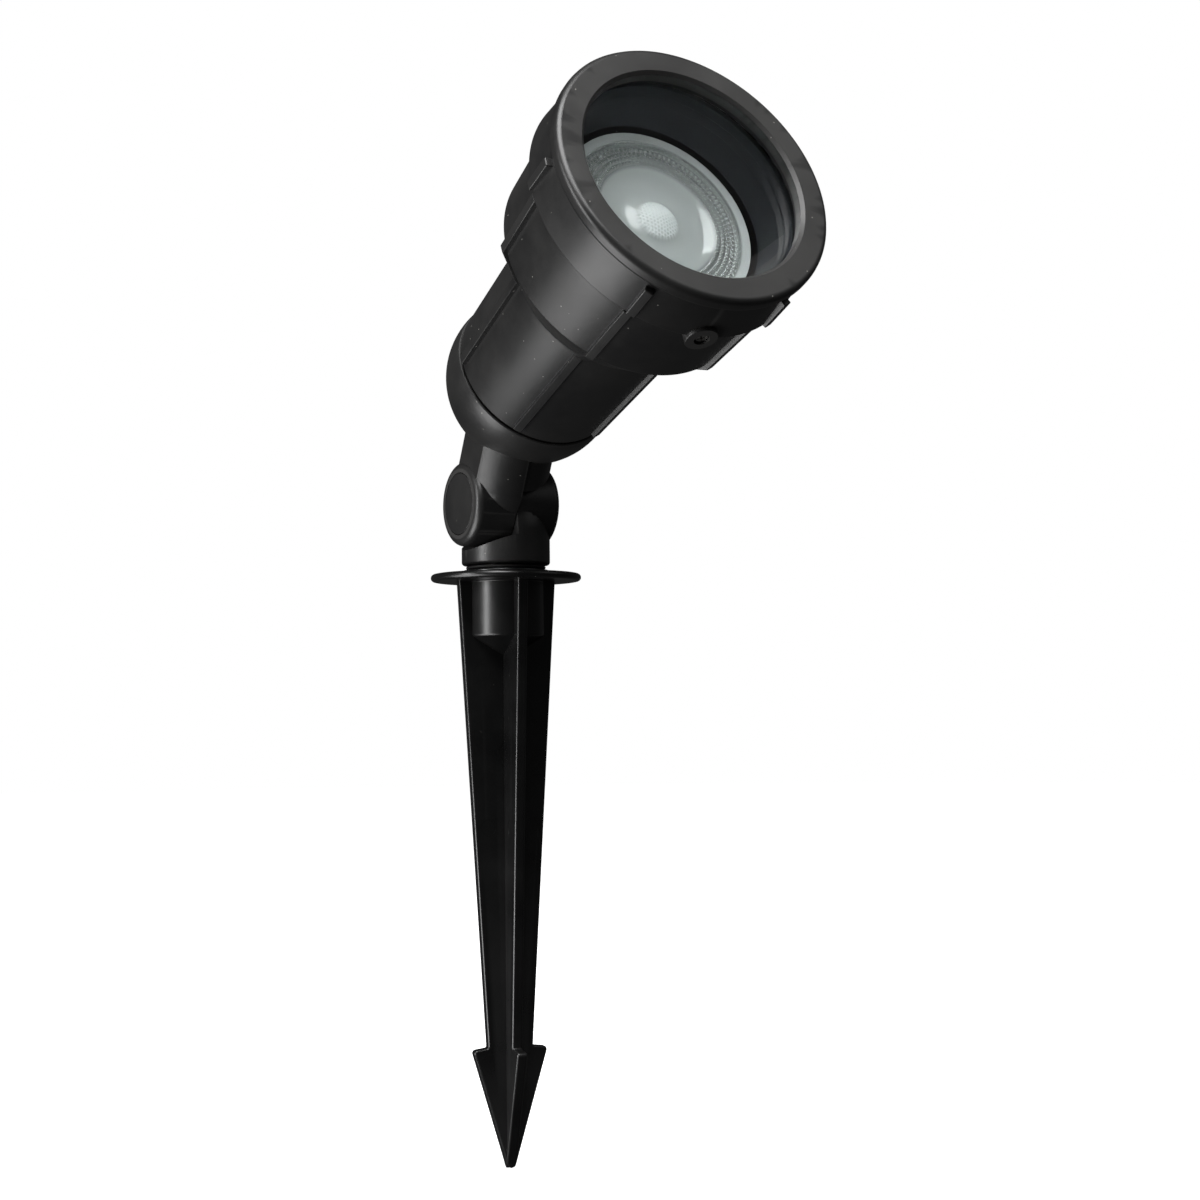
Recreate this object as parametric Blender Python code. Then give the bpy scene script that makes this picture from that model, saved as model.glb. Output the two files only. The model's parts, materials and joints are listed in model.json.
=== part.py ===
"""Garden spotlight on a barbed ground spike, with its lamp, holder and knuckle.

Frame: metres, +Z up along the spike, origin at the centre of the flange's underside,
where the flange rests on the ground. The knuckle's pin lies along X and the head
leans towards -Y.
"""
import math

import bmesh
import bpy
from mathutils import Vector

MM = 0.001
GAP = 0.3 * MM                      # air left between neighbouring solids
HALF_GAP = GAP / 2
OVERLAP = 1.0 * MM                  # how far a cutter or a joined piece runs past a face

# Facets around a full turn
FINE = 32
MEDIUM = 24
SMALL = 14
TINY = 8

# Ground spike
FLANGE_R = 20.0 * MM
FLANGE_T = 2.0 * MM
COLLAR_R = 11.4 * MM
COLLAR_H = 1.0 * MM
FIN_T = 2.8 * MM
FIN_TOP_R = 13.6 * MM
FIN_LOW_R = 6.2 * MM
SHANK_LENGTH = 123.0 * MM           # flange underside to the barbs
BARB_R = 10.4 * MM
BARB_LENGTH = 31.3 * MM             # barbs to the tip
BARB_SLOPE = 0.5 * MM
CORNER = 0.6 * MM
TIP_R = 1.3 * MM
SPIKE_TURN = math.radians(-7.6)     # fins are not square to the pin as it stands
SOCKET_WALL = 2.2 * MM
SOCKET_LENGTH = 14.5 * MM
SOCKET_FLOOR = 1.0 * MM
SOCKET_CONE = 5.3 * MM              # cone under the socket
CONE_R = 1.5 * MM
NOTCH_W = 7.0 * MM                  # cable way out of the socket
NOTCH_H = 7.0 * MM

# Swivel base: stem in the socket and the lower half of the knuckle
STEM_R = 7.6 * MM
STEM_LENGTH = 7.0 * MM              # below the flange underside
STEM_BORE_R = 4.5 * MM
STEM_BORE_TOP = 6.5 * MM
RING_SPACE = 1.3 * MM               # between the collar and the swivel base
RING_R = 10.6 * MM
SNAP_W = 1.4 * MM
SNAP_RISE = 1.4 * MM                # snap groove's floor above the stem's end
SNAP_DEPTH = 1.0 * MM
BASE_R = 11.75 * MM
PIVOT_Z = 20.3 * MM
SPLIT_X = -2.3 * MM                 # plane between the knuckle's two halves
BASE_END_X = 11.0 * MM
HEAD_END_X = -13.8 * MM
NECK_SIDE_X = -13.2 * MM            # flat that trims the neck
BARREL_R = 11.2 * MM
BARREL_ROUND = 2.0 * MM
EAR_R = 10.75 * MM                  # ball that ends each half's round column
TAPER = 7.0 * MM
DISH_R = 20.0 * MM                  # hollow that the other half sweeps over
DISH_CLEAR = 12.2 * MM              # its nearest point to the pin
NECK_R = 12.0 * MM
CHAMBER_R = 6.8 * MM                # wire space round the pin, in both halves
CHAMBER_DEPTH = 4.5 * MM
BOSS_R = 4.2 * MM
BOSS_SET_BACK = 0.7 * MM
WIRE_SLOT_X = 3.2 * MM
WIRE_SLOT_Y = 8.0 * MM
WIRE_SLOT_IN = 4.5 * MM             # slot's start, from the pin's axis
SEAL_R = 8.3 * MM
SEAL_TUBE_R = 0.7 * MM

# Knuckle fasteners
PIN_R = 1.9 * MM
WASHER_R = 3.9 * MM
WASHER_T = 0.7 * MM
BOLT_HEAD_R = 3.5 * MM
BOLT_HEAD_H = 1.8 * MM
HEX_KEY_R = 1.5 * MM
HEX_KEY_DEPTH = 1.1 * MM
PLUG_T = 1.6 * MM
NUT_R = 3.9 * MM
NUT_T = 2.4 * MM
NUT_COVER_R = 8.1 * MM
NUT_COVER_T = 1.2 * MM

# Rest angles and lengths of the head
NECK_LEAN = math.radians(26.35)
NECK_TO_HEAD = math.radians(39.65)
NECK_LENGTH = 35.70 * MM            # pin to the dome's centre
DOME_R = 22.5 * MM
DOME_SET = 3.4 * MM                 # dome's centre behind its front edge
WALL = 2.2 * MM

# Lamp: a 50 mm reflector lamp with a two-pin twist base
LAMP_STATION = 19.3 * MM            # lamp's face behind the head's front
LAMP_R = 24.85 * MM
LAMP_BODY = 46.0 * MM               # face to base
LENS_T = 3.2 * MM
LENS_DEPTH = 12.7 * MM
LENS_RIM_W = 4.85 * MM              # flat behind the lens, round its cup
LENS_TIP_R = 8.5 * MM
LAMP_WALL = 1.3 * MM
LAMP_TAIL_R = 14.2 * MM
LAMP_BASE_T = 5.0 * MM
LAMP_BASE_R = 13.0 * MM
CHIP_R = 4.5 * MM
CHIP_T = 1.0 * MM
BOARD_IN = 7.85 * MM                # from the lamp's outside to the LED board
BOARD_T = 1.2 * MM
DRIVER_W = 19.0 * MM
DRIVER_L = 19.0 * MM
CAPACITOR_R = 3.2 * MM
CAPACITOR_L = 9.0 * MM
PIN_SPACING = 10.0 * MM
LAMP_PIN_R = 2.5 * MM
LAMP_PIN_NECK_R = 1.6 * MM
LAMP_PIN_L = 7.2 * MM
LAMP_PIN_HEAD = 2.2 * MM
TWIST = math.radians(25.0)
TWIST_SPARE = math.radians(3.0)
PIN_CLEAR = 0.5 * MM

# Lampholder and what carries it
HOLDER_R = 13.6 * MM
HOLDER_T = 9.0 * MM
HOLDER_AIR = 0.6 * MM
CONTACT_T = 0.8 * MM
BRACKET_T = 1.0 * MM
BRACKET_W = 7.0 * MM
BRACKET_SPAN = 11.0 * MM            # half length between its legs
BRACKET_FOOT = 4.2 * MM
BRACKET_H = 4.4 * MM
SMALL_SHANK_R = 1.1 * MM
SMALL_HEAD_R = 2.1 * MM
SMALL_HEAD_H = 1.3 * MM
HOLDER_SCREW_X = 7.8 * MM
HOLDER_SCREW_L = 4.0 * MM
BULKHEAD_T = 2.5 * MM
BULKHEAD_HOLE_R = 8.6 * MM
TERMINAL_X = 9.0 * MM
TERMINAL_Y = 16.0 * MM
TERMINAL_L = 8.0 * MM
TERMINAL_BORE_R = 1.8 * MM
LEAD_R = 1.0 * MM
LEAD_Y = 6.2 * MM
LEAD_BOW = 1.2 * MM

# Body shell
LAMP_AIR = 5.05 * MM                # round the lamp, inside the wide part
DRAFT = 1.2 * MM                    # how much wider the body is at its mouth
STEP_STATION = 36.0 * MM
STEP_LENGTH = 11.0 * MM
SLIM_FRONT_R = 23.4 * MM
SLIM_REAR_R = 22.0 * MM
REAR_SPACE = 2.4 * MM               # bulkhead's back to the dome's seam
SEAM_GROOVE = 0.5 * MM
DOME_GASKET_IN = 19.6 * MM
DOME_GASKET_W = 1.1 * MM
DOME_GASKET_T = 0.7 * MM
POST_R = 3.0 * MM
POST_CIRCLE_R = 13.5 * MM
POST_ANGLES = [math.radians(a) for a in (90.0, 210.0, 330.0)]
DOME_SHANK_R = 1.3 * MM
DOME_HEAD_R = 2.6 * MM
DOME_HEAD_H = 1.8 * MM
DOME_SCREW_L = 14.0 * MM

# Front cap
SKIRT_T = 2.05 * MM
CAP_LENGTH = 14.5 * MM
RING_T = 3.2 * MM                   # front ring, ahead of the skirt
RING_ROUND = 1.6 * MM
SKIRT_SET_BACK = 0.9 * MM
OPENING_IN = 7.25 * MM              # from the cap's outside to the opening
LEDGE_T = 3.0 * MM
GLASS_IN = 4.85 * MM                # from the cap's outside to the glass
GLASS_T = 3.0 * MM
GLASS_GASKET_T = 0.8 * MM
GLASS_GASKET_W = 2.0 * MM
CAP_GASKET_T = 0.7 * MM
LINER_AIR = 1.45 * MM               # between the lamp's face and the liner
LINER_T = 1.4 * MM
CAP_BOSS_R = 4.0 * MM
CAP_BOSS_PROUD = 0.6 * MM
CAP_SCREW_HEAD_R = 1.6 * MM
CAP_SCREW_HEAD_H = 1.2 * MM
CAP_SCREW_SHANK_R = 0.9 * MM
CAP_SCREW_SUNK = 0.4 * MM

# Ribs along the cap and the body
RIB_W = 2.4 * MM
RIB_DEPTH = 2.6 * MM
CAP_RIB_H = 0.85 * MM               # above the skirt's edge, along the whole rib
BODY_RIB_H = 1.3 * MM               # above the surface it runs over
CAP_RIB_ANGLES = [math.radians(a) for a in (60.4, 122.5, 177.6, 240.4, 302.5, 357.6)]
BODY_RIB_ANGLES = [math.radians(a) for a in (0.0, 60.0, 120.0, 180.0, 240.0, 300.0)]

# Sizes that follow from the ones above
SOCKET_R = STEM_R + GAP
SOCKET_OUTER_R = SOCKET_R + SOCKET_WALL
BASE_Z = FLANGE_T + COLLAR_H + RING_SPACE
BODY_STEP_R = LAMP_R + LAMP_AIR + WALL
BODY_MOUTH_R = BODY_STEP_R + DRAFT
SKIRT_IN_R = BODY_MOUTH_R + GAP
CAP_R = SKIRT_IN_R + SKIRT_T
OPENING_R = CAP_R - OPENING_IN
GLASS_R = CAP_R - GLASS_IN
LINER_REAR_R = LAMP_R + LINER_AIR
LENS_CUP_R = LAMP_R - LENS_RIM_W
BOARD_R = LAMP_R - BOARD_IN
GLASS_SEAT_R = GLASS_R + GAP
GLASS_STATION = LEDGE_T + GLASS_GASKET_T + 2 * GAP
LINER_STATION = GLASS_STATION + GLASS_T + GAP
BODY_STATION = LINER_STATION + CAP_GASKET_T + 2 * GAP
LAMP_END = LAMP_STATION + LAMP_BODY
HOLDER_STATION = LAMP_END + HOLDER_AIR
HOLDER_END = HOLDER_STATION + HOLDER_T
BRACKET_STATION = HOLDER_END + GAP
BULKHEAD_STATION = BRACKET_STATION + BRACKET_H + GAP
BULKHEAD_END = BULKHEAD_STATION + BULKHEAD_T
SEAM_STATION = BULKHEAD_END + REAR_SPACE
DOME_STATION = SEAM_STATION + GAP + DOME_SET
DOME_IN_R = DOME_R - WALL
BODY_IN_R = SLIM_REAR_R - WALL
TERMINAL_STATION = BULKHEAD_END + REAR_SPACE
HEAD_LEAN = NECK_LEAN + NECK_TO_HEAD


# ---------------------------------------------------------------- tools

def clear_scene():
    for obj in list(bpy.data.objects):
        bpy.data.objects.remove(obj, do_unlink=True)


def finish(name, color, roughness, metallic=0.0):
    """A Principled material for one sub-part."""
    material = bpy.data.materials.new(name)
    material.use_nodes = True
    shader = material.node_tree.nodes["Principled BSDF"]
    shader.inputs["Base Color"].default_value = (*color, 1.0)
    shader.inputs["Roughness"].default_value = roughness
    shader.inputs["Metallic"].default_value = metallic
    return material


BLACK = ((0.022, 0.022, 0.023), 0.42)
RUBBER = ((0.012, 0.012, 0.012), 0.75)
STEEL = ((0.55, 0.55, 0.56), 0.3, 1.0)
BRASS = ((0.72, 0.55, 0.28), 0.3, 1.0)
CERAMIC = ((0.82, 0.80, 0.76), 0.5)
WHITE = ((0.78, 0.79, 0.80), 0.4)
CLEAR = ((0.85, 0.89, 0.90), 0.08)
GREEN = ((0.05, 0.22, 0.11), 0.5)


def frame_empty(name, location, lean, parent=None):
    """An empty that is turned about X; its children are placed in its axes."""
    empty = bpy.data.objects.new(name, None)
    bpy.context.collection.objects.link(empty)
    empty.parent = parent
    empty.location = location
    empty.rotation_euler = (lean, 0.0, 0.0)
    return empty


def add_object(name, bm, look, parent):
    bmesh.ops.recalc_face_normals(bm, faces=bm.faces)
    mesh = bpy.data.meshes.new(name)
    bm.to_mesh(mesh)
    bm.free()
    mesh.shade_smooth()
    mesh.set_sharp_from_angle(angle=math.radians(35.0))
    obj = bpy.data.objects.new(name, mesh)
    bpy.context.collection.objects.link(obj)
    obj.parent = parent
    if look is None:
        obj.hide_render = True
        obj.display_type = "WIRE"
    else:
        mesh.materials.append(finish(name, *look))
    return obj


def spin_into(bm, profile, segments):
    """Turn a profile of (radius, z) points about Z. Ends on the axis make it solid."""
    solid = profile[0][0] == 0.0 and profile[-1][0] == 0.0
    verts = [bm.verts.new((r, 0.0, z)) for r, z in profile]
    edges = [bm.edges.new(pair) for pair in zip(verts, verts[1:])]
    if not solid:
        edges.append(bm.edges.new((verts[-1], verts[0])))
    bmesh.ops.spin(bm, geom=verts + edges, cent=(0, 0, 0), axis=(0, 0, 1),
                   angle=2 * math.pi, steps=segments, use_merge=True)
    bmesh.ops.remove_doubles(bm, verts=bm.verts, dist=0.001 * MM)


def turned(name, profile, segments, look=None, parent=None):
    bm = bmesh.new()
    spin_into(bm, profile, segments)
    return add_object(name, bm, look, parent)


def rod(radius, low, high):
    """Profile of a plain round bar."""
    return [(0.0, high), (radius, high), (radius, low), (0.0, low)]


def tube(inner, outer, low, high):
    """Profile of a plain ring."""
    return [(inner, high), (outer, high), (outer, low), (inner, low)]


def prism_into(bm, outline, low, high, matrix=None):
    """Extrude an outline of (x, y) points along Z between two heights."""
    bottom = [bm.verts.new((x, y, low)) for x, y in outline]
    face = bm.faces.new(bottom)
    made = bmesh.ops.extrude_face_region(bm, geom=[face])
    raised = [item for item in made["geom"] if isinstance(item, bmesh.types.BMVert)]
    bmesh.ops.translate(bm, verts=raised, vec=(0, 0, high - low))
    if matrix is not None:
        bmesh.ops.transform(bm, matrix=matrix, verts=bottom + raised)


def prism(name, outline, low, high, look=None, parent=None):
    bm = bmesh.new()
    prism_into(bm, outline, low, high)
    return add_object(name, bm, look, parent)


def rectangle(half_x, half_y, x=0.0, y=0.0):
    return [(x - half_x, y - half_y), (x + half_x, y - half_y),
            (x + half_x, y + half_y), (x - half_x, y + half_y)]


def polygon(radius, count, phase=0.0):
    steps = [phase + 2 * math.pi * i / count for i in range(count)]
    return [(radius * math.cos(a), radius * math.sin(a)) for a in steps]


def combine(target, other, operation):
    modifier = target.modifiers.new(operation.title() + " " + other.name, "BOOLEAN")
    modifier.operation = operation
    modifier.object = other
    modifier.solver = "EXACT"


def cut(target, *others):
    for other in others:
        combine(target, other, "DIFFERENCE")


def join(target, *others):
    for other in others:
        combine(target, other, "UNION")


def along_x(obj, x=0.0):
    """Lay a turned piece along X, its local +Z towards +X."""
    obj.rotation_euler = (0.0, math.pi / 2, 0.0)
    obj.location.x += x
    return obj


def at_angle(obj, radius, angle):
    obj.location.x = radius * math.cos(angle)
    obj.location.y = radius * math.sin(angle)
    return obj


def ahead(station):
    """Height in the head's frame of a distance behind the head's front."""
    return DOME_STATION - station


def stations(points):
    """Turn (distance behind the front, radius) points into a profile."""
    return [(radius, ahead(station)) for station, radius in points]


# ---------------------------------------------------------------- ground spike

def fin_outline(pointed):
    """Outline of a pair of opposite fins and barbs, as (across, z). The pair that is
    not pointed stops while it is still wider than the other pair is thick."""
    barb_z = -SHANK_LENGTH
    tip_z = barb_z - BARB_LENGTH
    side = [
        (FIN_TOP_R, FLANGE_T / 2),
        (FIN_TOP_R, 0.0),
        (FIN_LOW_R, barb_z + BARB_SLOPE),
        (BARB_R - CORNER, barb_z),
        (BARB_R, barb_z - CORNER),
    ]
    if pointed:
        side += [(TIP_R, tip_z + TIP_R), (TIP_R / 2, tip_z + TIP_R / 4), (0.0, tip_z)]
        mirrored = side[-2::-1]
    else:
        stop_r = FIN_T / 2 + CORNER
        share = (stop_r - TIP_R) / (BARB_R - TIP_R)
        side.append((stop_r, tip_z + TIP_R + share * (BARB_LENGTH - CORNER - TIP_R)))
        mirrored = side[::-1]
    return side + [(-x, z) for x, z in mirrored]


def ground_spike():
    rim = FLANGE_T / 4
    top = FLANGE_T + COLLAR_H
    spike = turned("ground_spike", [
        (0.0, top), (COLLAR_R, top), (COLLAR_R, FLANGE_T), (FLANGE_R - rim, FLANGE_T),
        (FLANGE_R, FLANGE_T - rim), (FLANGE_R, rim), (FLANGE_R - rim, 0.0),
        (SOCKET_OUTER_R, 0.0), (SOCKET_OUTER_R, -SOCKET_LENGTH),
        (CONE_R, -SOCKET_LENGTH - SOCKET_CONE), (0.0, -SOCKET_LENGTH - SOCKET_CONE),
    ], FINE, BLACK)
    for name, turn in (("fins_pointed", 0.0), ("fins_blunt", math.pi / 2)):
        fins = prism(name, fin_outline(turn == 0.0), -FIN_T / 2, FIN_T / 2)
        fins.rotation_euler = (math.pi / 2, 0.0, SPIKE_TURN + turn)
        join(spike, fins)
    snap_top, snap_low = snap_groove()
    floor = SOCKET_FLOOR - SOCKET_LENGTH
    groove_r = SOCKET_R + SNAP_DEPTH - GAP
    bore = turned("socket_bore", [
        (0.0, top + OVERLAP), (SOCKET_R, top + OVERLAP), (SOCKET_R, snap_top),
        (groove_r, snap_top), (groove_r, snap_low), (SOCKET_R, snap_low),
        (SOCKET_R, floor), (0.0, floor),
    ], MEDIUM)
    cut(spike, bore)
    reach = (SOCKET_OUTER_R + OVERLAP - STEM_BORE_R) / 2
    notch = prism("cable_notch", rectangle(reach, NOTCH_W / 2, x=STEM_BORE_R + reach),
                  floor + SOCKET_FLOOR / 2, floor + NOTCH_H)
    notch.rotation_euler.z = SPIKE_TURN + math.radians(45.0)
    cut(spike, notch)


def snap_groove():
    """Top and bottom of the groove that the snap ring sits in."""
    low = -STEM_LENGTH + SNAP_RISE
    return low + SNAP_W, low


# ---------------------------------------------------------------- knuckle

def column(radius, low, ear_up):
    """Round column with a tapered, ball-shaped end at the pin. ear_up is +1 or -1."""
    ball = [math.radians(a) for a in (90.0, 65.0, 40.0, 20.0, 0.0)]
    end = [(EAR_R * math.cos(a), ear_up * EAR_R * math.sin(a)) for a in ball[1:]]
    return [(0.0, ear_up * EAR_R)] + end + [(radius, -ear_up * TAPER), (radius, low)]


def barrel(name, face, end, parent):
    """One half of the knuckle's drum, from the split face to its rounded end."""
    outward = math.copysign(1.0, end - face)
    length = abs(end - face)
    drum = turned(name, [
        (0.0, length), (BARREL_R - BARREL_ROUND, length),
        (BARREL_R - 0.3 * BARREL_ROUND, length - 0.3 * BARREL_ROUND),
        (BARREL_R, length - BARREL_ROUND), (BARREL_R, 0.0), (0.0, 0.0),
    ], FINE, parent=parent)
    drum.rotation_euler = (0.0, outward * math.pi / 2, 0.0)
    drum.location.x = face
    return drum


def dish(name, face, outward, centre_z, parent):
    """Cutter that hollows one half where the other half swings past."""
    reach = 2 * DISH_R
    tool = turned(name, rod(DISH_R, 0.0, reach), FINE, parent=parent)
    tool.rotation_euler = (0.0, outward * math.pi / 2, 0.0)
    tool.location = (face, 0.0, centre_z)
    return tool


def chamber_tool(name, face, outward, parent):
    """Cutter for the ring-shaped wire space round the pin's boss."""
    tool = turned(name, [
        (0.0, BOSS_SET_BACK), (BOSS_R, BOSS_SET_BACK), (BOSS_R, CHAMBER_DEPTH),
        (CHAMBER_R, CHAMBER_DEPTH), (CHAMBER_R, -OVERLAP), (0.0, -OVERLAP),
    ], MEDIUM, parent=parent)
    tool.rotation_euler = (0.0, outward * math.pi / 2, 0.0)
    tool.location.x = face
    return tool


def swivel_base(pivot):
    face = SPLIT_X + HALF_GAP
    end = BASE_Z - PIVOT_Z
    stem_end = -STEM_LENGTH - PIVOT_Z
    snap_top, snap_low = snap_groove()
    groove_r = STEM_R - SNAP_DEPTH
    profile = column(BASE_R, end + CORNER, 1) + [
        (BASE_R - CORNER, end), (STEM_R, end), (STEM_R, snap_top - PIVOT_Z),
        (groove_r, snap_top - PIVOT_Z), (groove_r, snap_low - PIVOT_Z),
        (STEM_R, snap_low - PIVOT_Z), (STEM_R, stem_end), (0.0, stem_end),
    ]
    base = turned("swivel_base", profile, FINE, BLACK, pivot)
    join(base, barrel("base_barrel", face - OVERLAP, BASE_END_X, pivot))
    cut(base, dish("base_dish", face, -1, DISH_R - DISH_CLEAR, pivot))
    cut(base, chamber_tool("base_chamber", face, 1, pivot))

    seal_depth = 2 * SEAL_TUBE_R + 2 * GAP
    groove = turned("seal_groove", tube(SEAL_R - SEAL_TUBE_R - GAP, SEAL_R + SEAL_TUBE_R + GAP,
                                        -OVERLAP, seal_depth), MEDIUM, parent=pivot)
    cut(base, along_x(groove, face))
    floor = bolt_pocket_x()
    hole = turned("bolt_hole", [
        (0.0, SPLIT_X - OVERLAP), (PIN_R + GAP, SPLIT_X - OVERLAP), (PIN_R + GAP, floor),
        (WASHER_R + GAP, floor), (WASHER_R + GAP, BASE_END_X + OVERLAP),
        (0.0, BASE_END_X + OVERLAP),
    ], SMALL, parent=pivot)
    cut(base, along_x(hole))

    slot_x = face + CHAMBER_DEPTH / 2
    slot = prism("base_wire_slot", rectangle(WIRE_SLOT_X / 2, WIRE_SLOT_Y / 2, x=slot_x),
                 STEM_BORE_TOP - PIVOT_Z - OVERLAP, -WIRE_SLOT_IN, parent=pivot)
    bore = turned("stem_bore", rod(STEM_BORE_R, stem_end - OVERLAP, STEM_BORE_TOP - PIVOT_Z),
                  MEDIUM, parent=pivot)
    cut(base, slot, bore)


def bolt_pocket_x():
    """Floor of the pocket for the bolt's head, washer and plug."""
    return BASE_END_X - PLUG_T - BOLT_HEAD_H - WASHER_T - 3 * GAP


def knuckle_fasteners(pivot, neck):
    floor = bolt_pocket_x()
    washer_x = floor + GAP
    head_x = washer_x + WASHER_T + GAP
    plug_x = head_x + BOLT_HEAD_H + GAP
    hole = PIN_R + GAP
    along_x(turned("pivot_washer", tube(hole, WASHER_R, washer_x, washer_x + WASHER_T),
                   SMALL, STEEL, pivot))
    nut_x = HEAD_END_X + NUT_COVER_T + GAP
    bolt = along_x(turned("pivot_bolt", [
        (0.0, head_x + BOLT_HEAD_H), (BOLT_HEAD_R, head_x + BOLT_HEAD_H), (BOLT_HEAD_R, head_x),
        (PIN_R, head_x), (PIN_R, nut_x + GAP), (0.0, nut_x + GAP),
    ], SMALL, STEEL, pivot))
    key = prism("hex_key", polygon(HEX_KEY_R, 6), head_x + BOLT_HEAD_H - HEX_KEY_DEPTH,
                head_x + BOLT_HEAD_H + OVERLAP, parent=pivot)
    cut(bolt, along_x(key))
    along_x(turned("bolt_plug", rod(WASHER_R, plug_x, BASE_END_X), SMALL, BLACK, pivot))

    washer_half = BOSS_SET_BACK + HALF_GAP - GAP
    along_x(turned("friction_washer", tube(hole, BOSS_R - GAP, -washer_half, washer_half),
                   SMALL, STEEL, pivot), SPLIT_X)
    seal_x = SPLIT_X + HALF_GAP + GAP + SEAL_TUBE_R
    rings = polygon(SEAL_TUBE_R, 6)
    along_x(turned("knuckle_seal", [(SEAL_R + x, z) for x, z in rings], MEDIUM, RUBBER, pivot),
            seal_x)

    nut = along_x(prism("pivot_nut", polygon(NUT_R, 6), nut_x, nut_x + NUT_T, STEEL, neck))
    cut(nut, along_x(turned("nut_bore", rod(hole, nut_x - OVERLAP, nut_x + NUT_T + OVERLAP),
                            SMALL, parent=neck)))
    along_x(turned("nut_cover", rod(NUT_COVER_R, HEAD_END_X, HEAD_END_X + NUT_COVER_T),
                   MEDIUM, BLACK, neck))


def stem_pieces(pivot):
    ring_low = FLANGE_T + COLLAR_H + GAP - PIVOT_Z
    ring_high = BASE_Z - GAP - PIVOT_Z
    turned("stem_seal_ring", tube(SOCKET_R, RING_R, ring_low, ring_high), MEDIUM, RUBBER, pivot)

    snap_top, snap_low = snap_groove()
    inner = STEM_R - SNAP_DEPTH + GAP
    outer = SOCKET_R + SNAP_DEPTH - 2 * GAP
    snap = turned("stem_snap_ring", tube(inner, outer, snap_low + GAP - PIVOT_Z,
                                         snap_top - GAP - PIVOT_Z), MEDIUM, STEEL, pivot)
    mouth = prism("snap_mouth", rectangle(STEM_R, STEM_R / 4, x=STEM_R),
                  snap_low - PIVOT_Z, snap_top - PIVOT_Z, parent=pivot)
    cut(snap, mouth)

    end = -STEM_LENGTH - PIVOT_Z
    lip_r = STEM_R - CORNER
    wall_r = STEM_BORE_R - GAP
    hole_r = STEM_BORE_R / 2
    turned("cable_seal", [
        (wall_r, end + STEM_LENGTH * 0.7), (wall_r, end - GAP), (lip_r, end - GAP),
        (lip_r, end - GAP - 3 * CORNER), (hole_r, end - GAP - 3 * CORNER),
        (hole_r, end + STEM_LENGTH * 0.7),
    ], SMALL, RUBBER, pivot)


# ---------------------------------------------------------------- rear dome

def rear_dome(head, neck):
    lip = ahead(SEAM_STATION + GAP)
    lip_r = math.sqrt(DOME_R ** 2 - lip ** 2)
    turns = [math.radians(a) for a in (0.0, -15.0, -30.0, -45.0, -60.0, -75.0)]
    shell = [(DOME_R * math.cos(a), DOME_R * math.sin(a)) for a in turns]
    dome = turned("rear_dome", [(0.0, lip), (lip_r, lip)] + shell + [(0.0, -DOME_R)],
                  FINE, BLACK, head)

    face = SPLIT_X - HALF_GAP
    top = NECK_LENGTH - DOME_R / 2
    profile = [(0.0, top), (NECK_R, top)] + column(NECK_R, top, -1)[::-1][1:]
    stalk = turned("neck", profile, FINE, parent=neck)
    stalk.location.x = SPLIT_X
    beyond = prism("neck_side", rectangle(NECK_R, 2 * NECK_R, x=NECK_SIDE_X - NECK_R),
                   -NECK_R, NECK_LENGTH, parent=neck)
    cut(stalk, beyond)
    join(stalk, barrel("head_barrel", face + OVERLAP, HEAD_END_X, neck))
    cut(stalk, dish("head_dish", face, 1, DISH_CLEAR - DISH_R, neck))
    join(dome, stalk)

    cavity = turned("dome_cavity", [(0.0, lip + OVERLAP), (DOME_IN_R, lip + OVERLAP)]
                    + [(DOME_IN_R * math.cos(a), DOME_IN_R * math.sin(a)) for a in turns]
                    + [(0.0, -DOME_IN_R)], FINE, parent=head)
    cut(dome, cavity)
    for index, angle in enumerate(POST_ANGLES):
        low = -math.sqrt(DOME_IN_R ** 2 - (POST_CIRCLE_R + POST_R / 2) ** 2) - OVERLAP
        post = turned("dome_post_%d" % index, rod(POST_R, low, ahead(BULKHEAD_END + GAP)),
                      SMALL, parent=head)
        hole = turned("dome_post_hole_%d" % index,
                      rod(DOME_SHANK_R + GAP, ahead(dome_screw_end() + GAP),
                          ahead(BULKHEAD_STATION)), TINY, parent=head)
        join(dome, at_angle(post, POST_CIRCLE_R, angle))
        cut(dome, at_angle(hole, POST_CIRCLE_R, angle))

    cut(dome, chamber_tool("head_chamber", face, -1, neck))
    nut_x = HEAD_END_X + NUT_COVER_T + GAP
    nut_end = nut_x + NUT_T + GAP
    hole = turned("nut_hole", [
        (0.0, SPLIT_X + OVERLAP), (PIN_R + GAP, SPLIT_X + OVERLAP), (PIN_R + GAP, nut_end),
        (NUT_R + GAP, nut_end), (NUT_R + GAP, nut_x), (NUT_COVER_R + GAP, nut_x),
        (NUT_COVER_R + GAP, HEAD_END_X - OVERLAP), (0.0, HEAD_END_X - OVERLAP),
    ], SMALL, parent=neck)
    cut(dome, along_x(hole))
    slot_x = face - CHAMBER_DEPTH / 2
    slot = prism("neck_wire_slot", rectangle(WIRE_SLOT_X / 2, WIRE_SLOT_Y / 2, x=slot_x),
                 WIRE_SLOT_IN, NECK_LENGTH - DOME_IN_R + 3 * OVERLAP, parent=neck)
    cut(dome, slot)


def dome_screw_end():
    return BULKHEAD_STATION - GAP + DOME_SCREW_L


# ---------------------------------------------------------------- body shell

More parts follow.
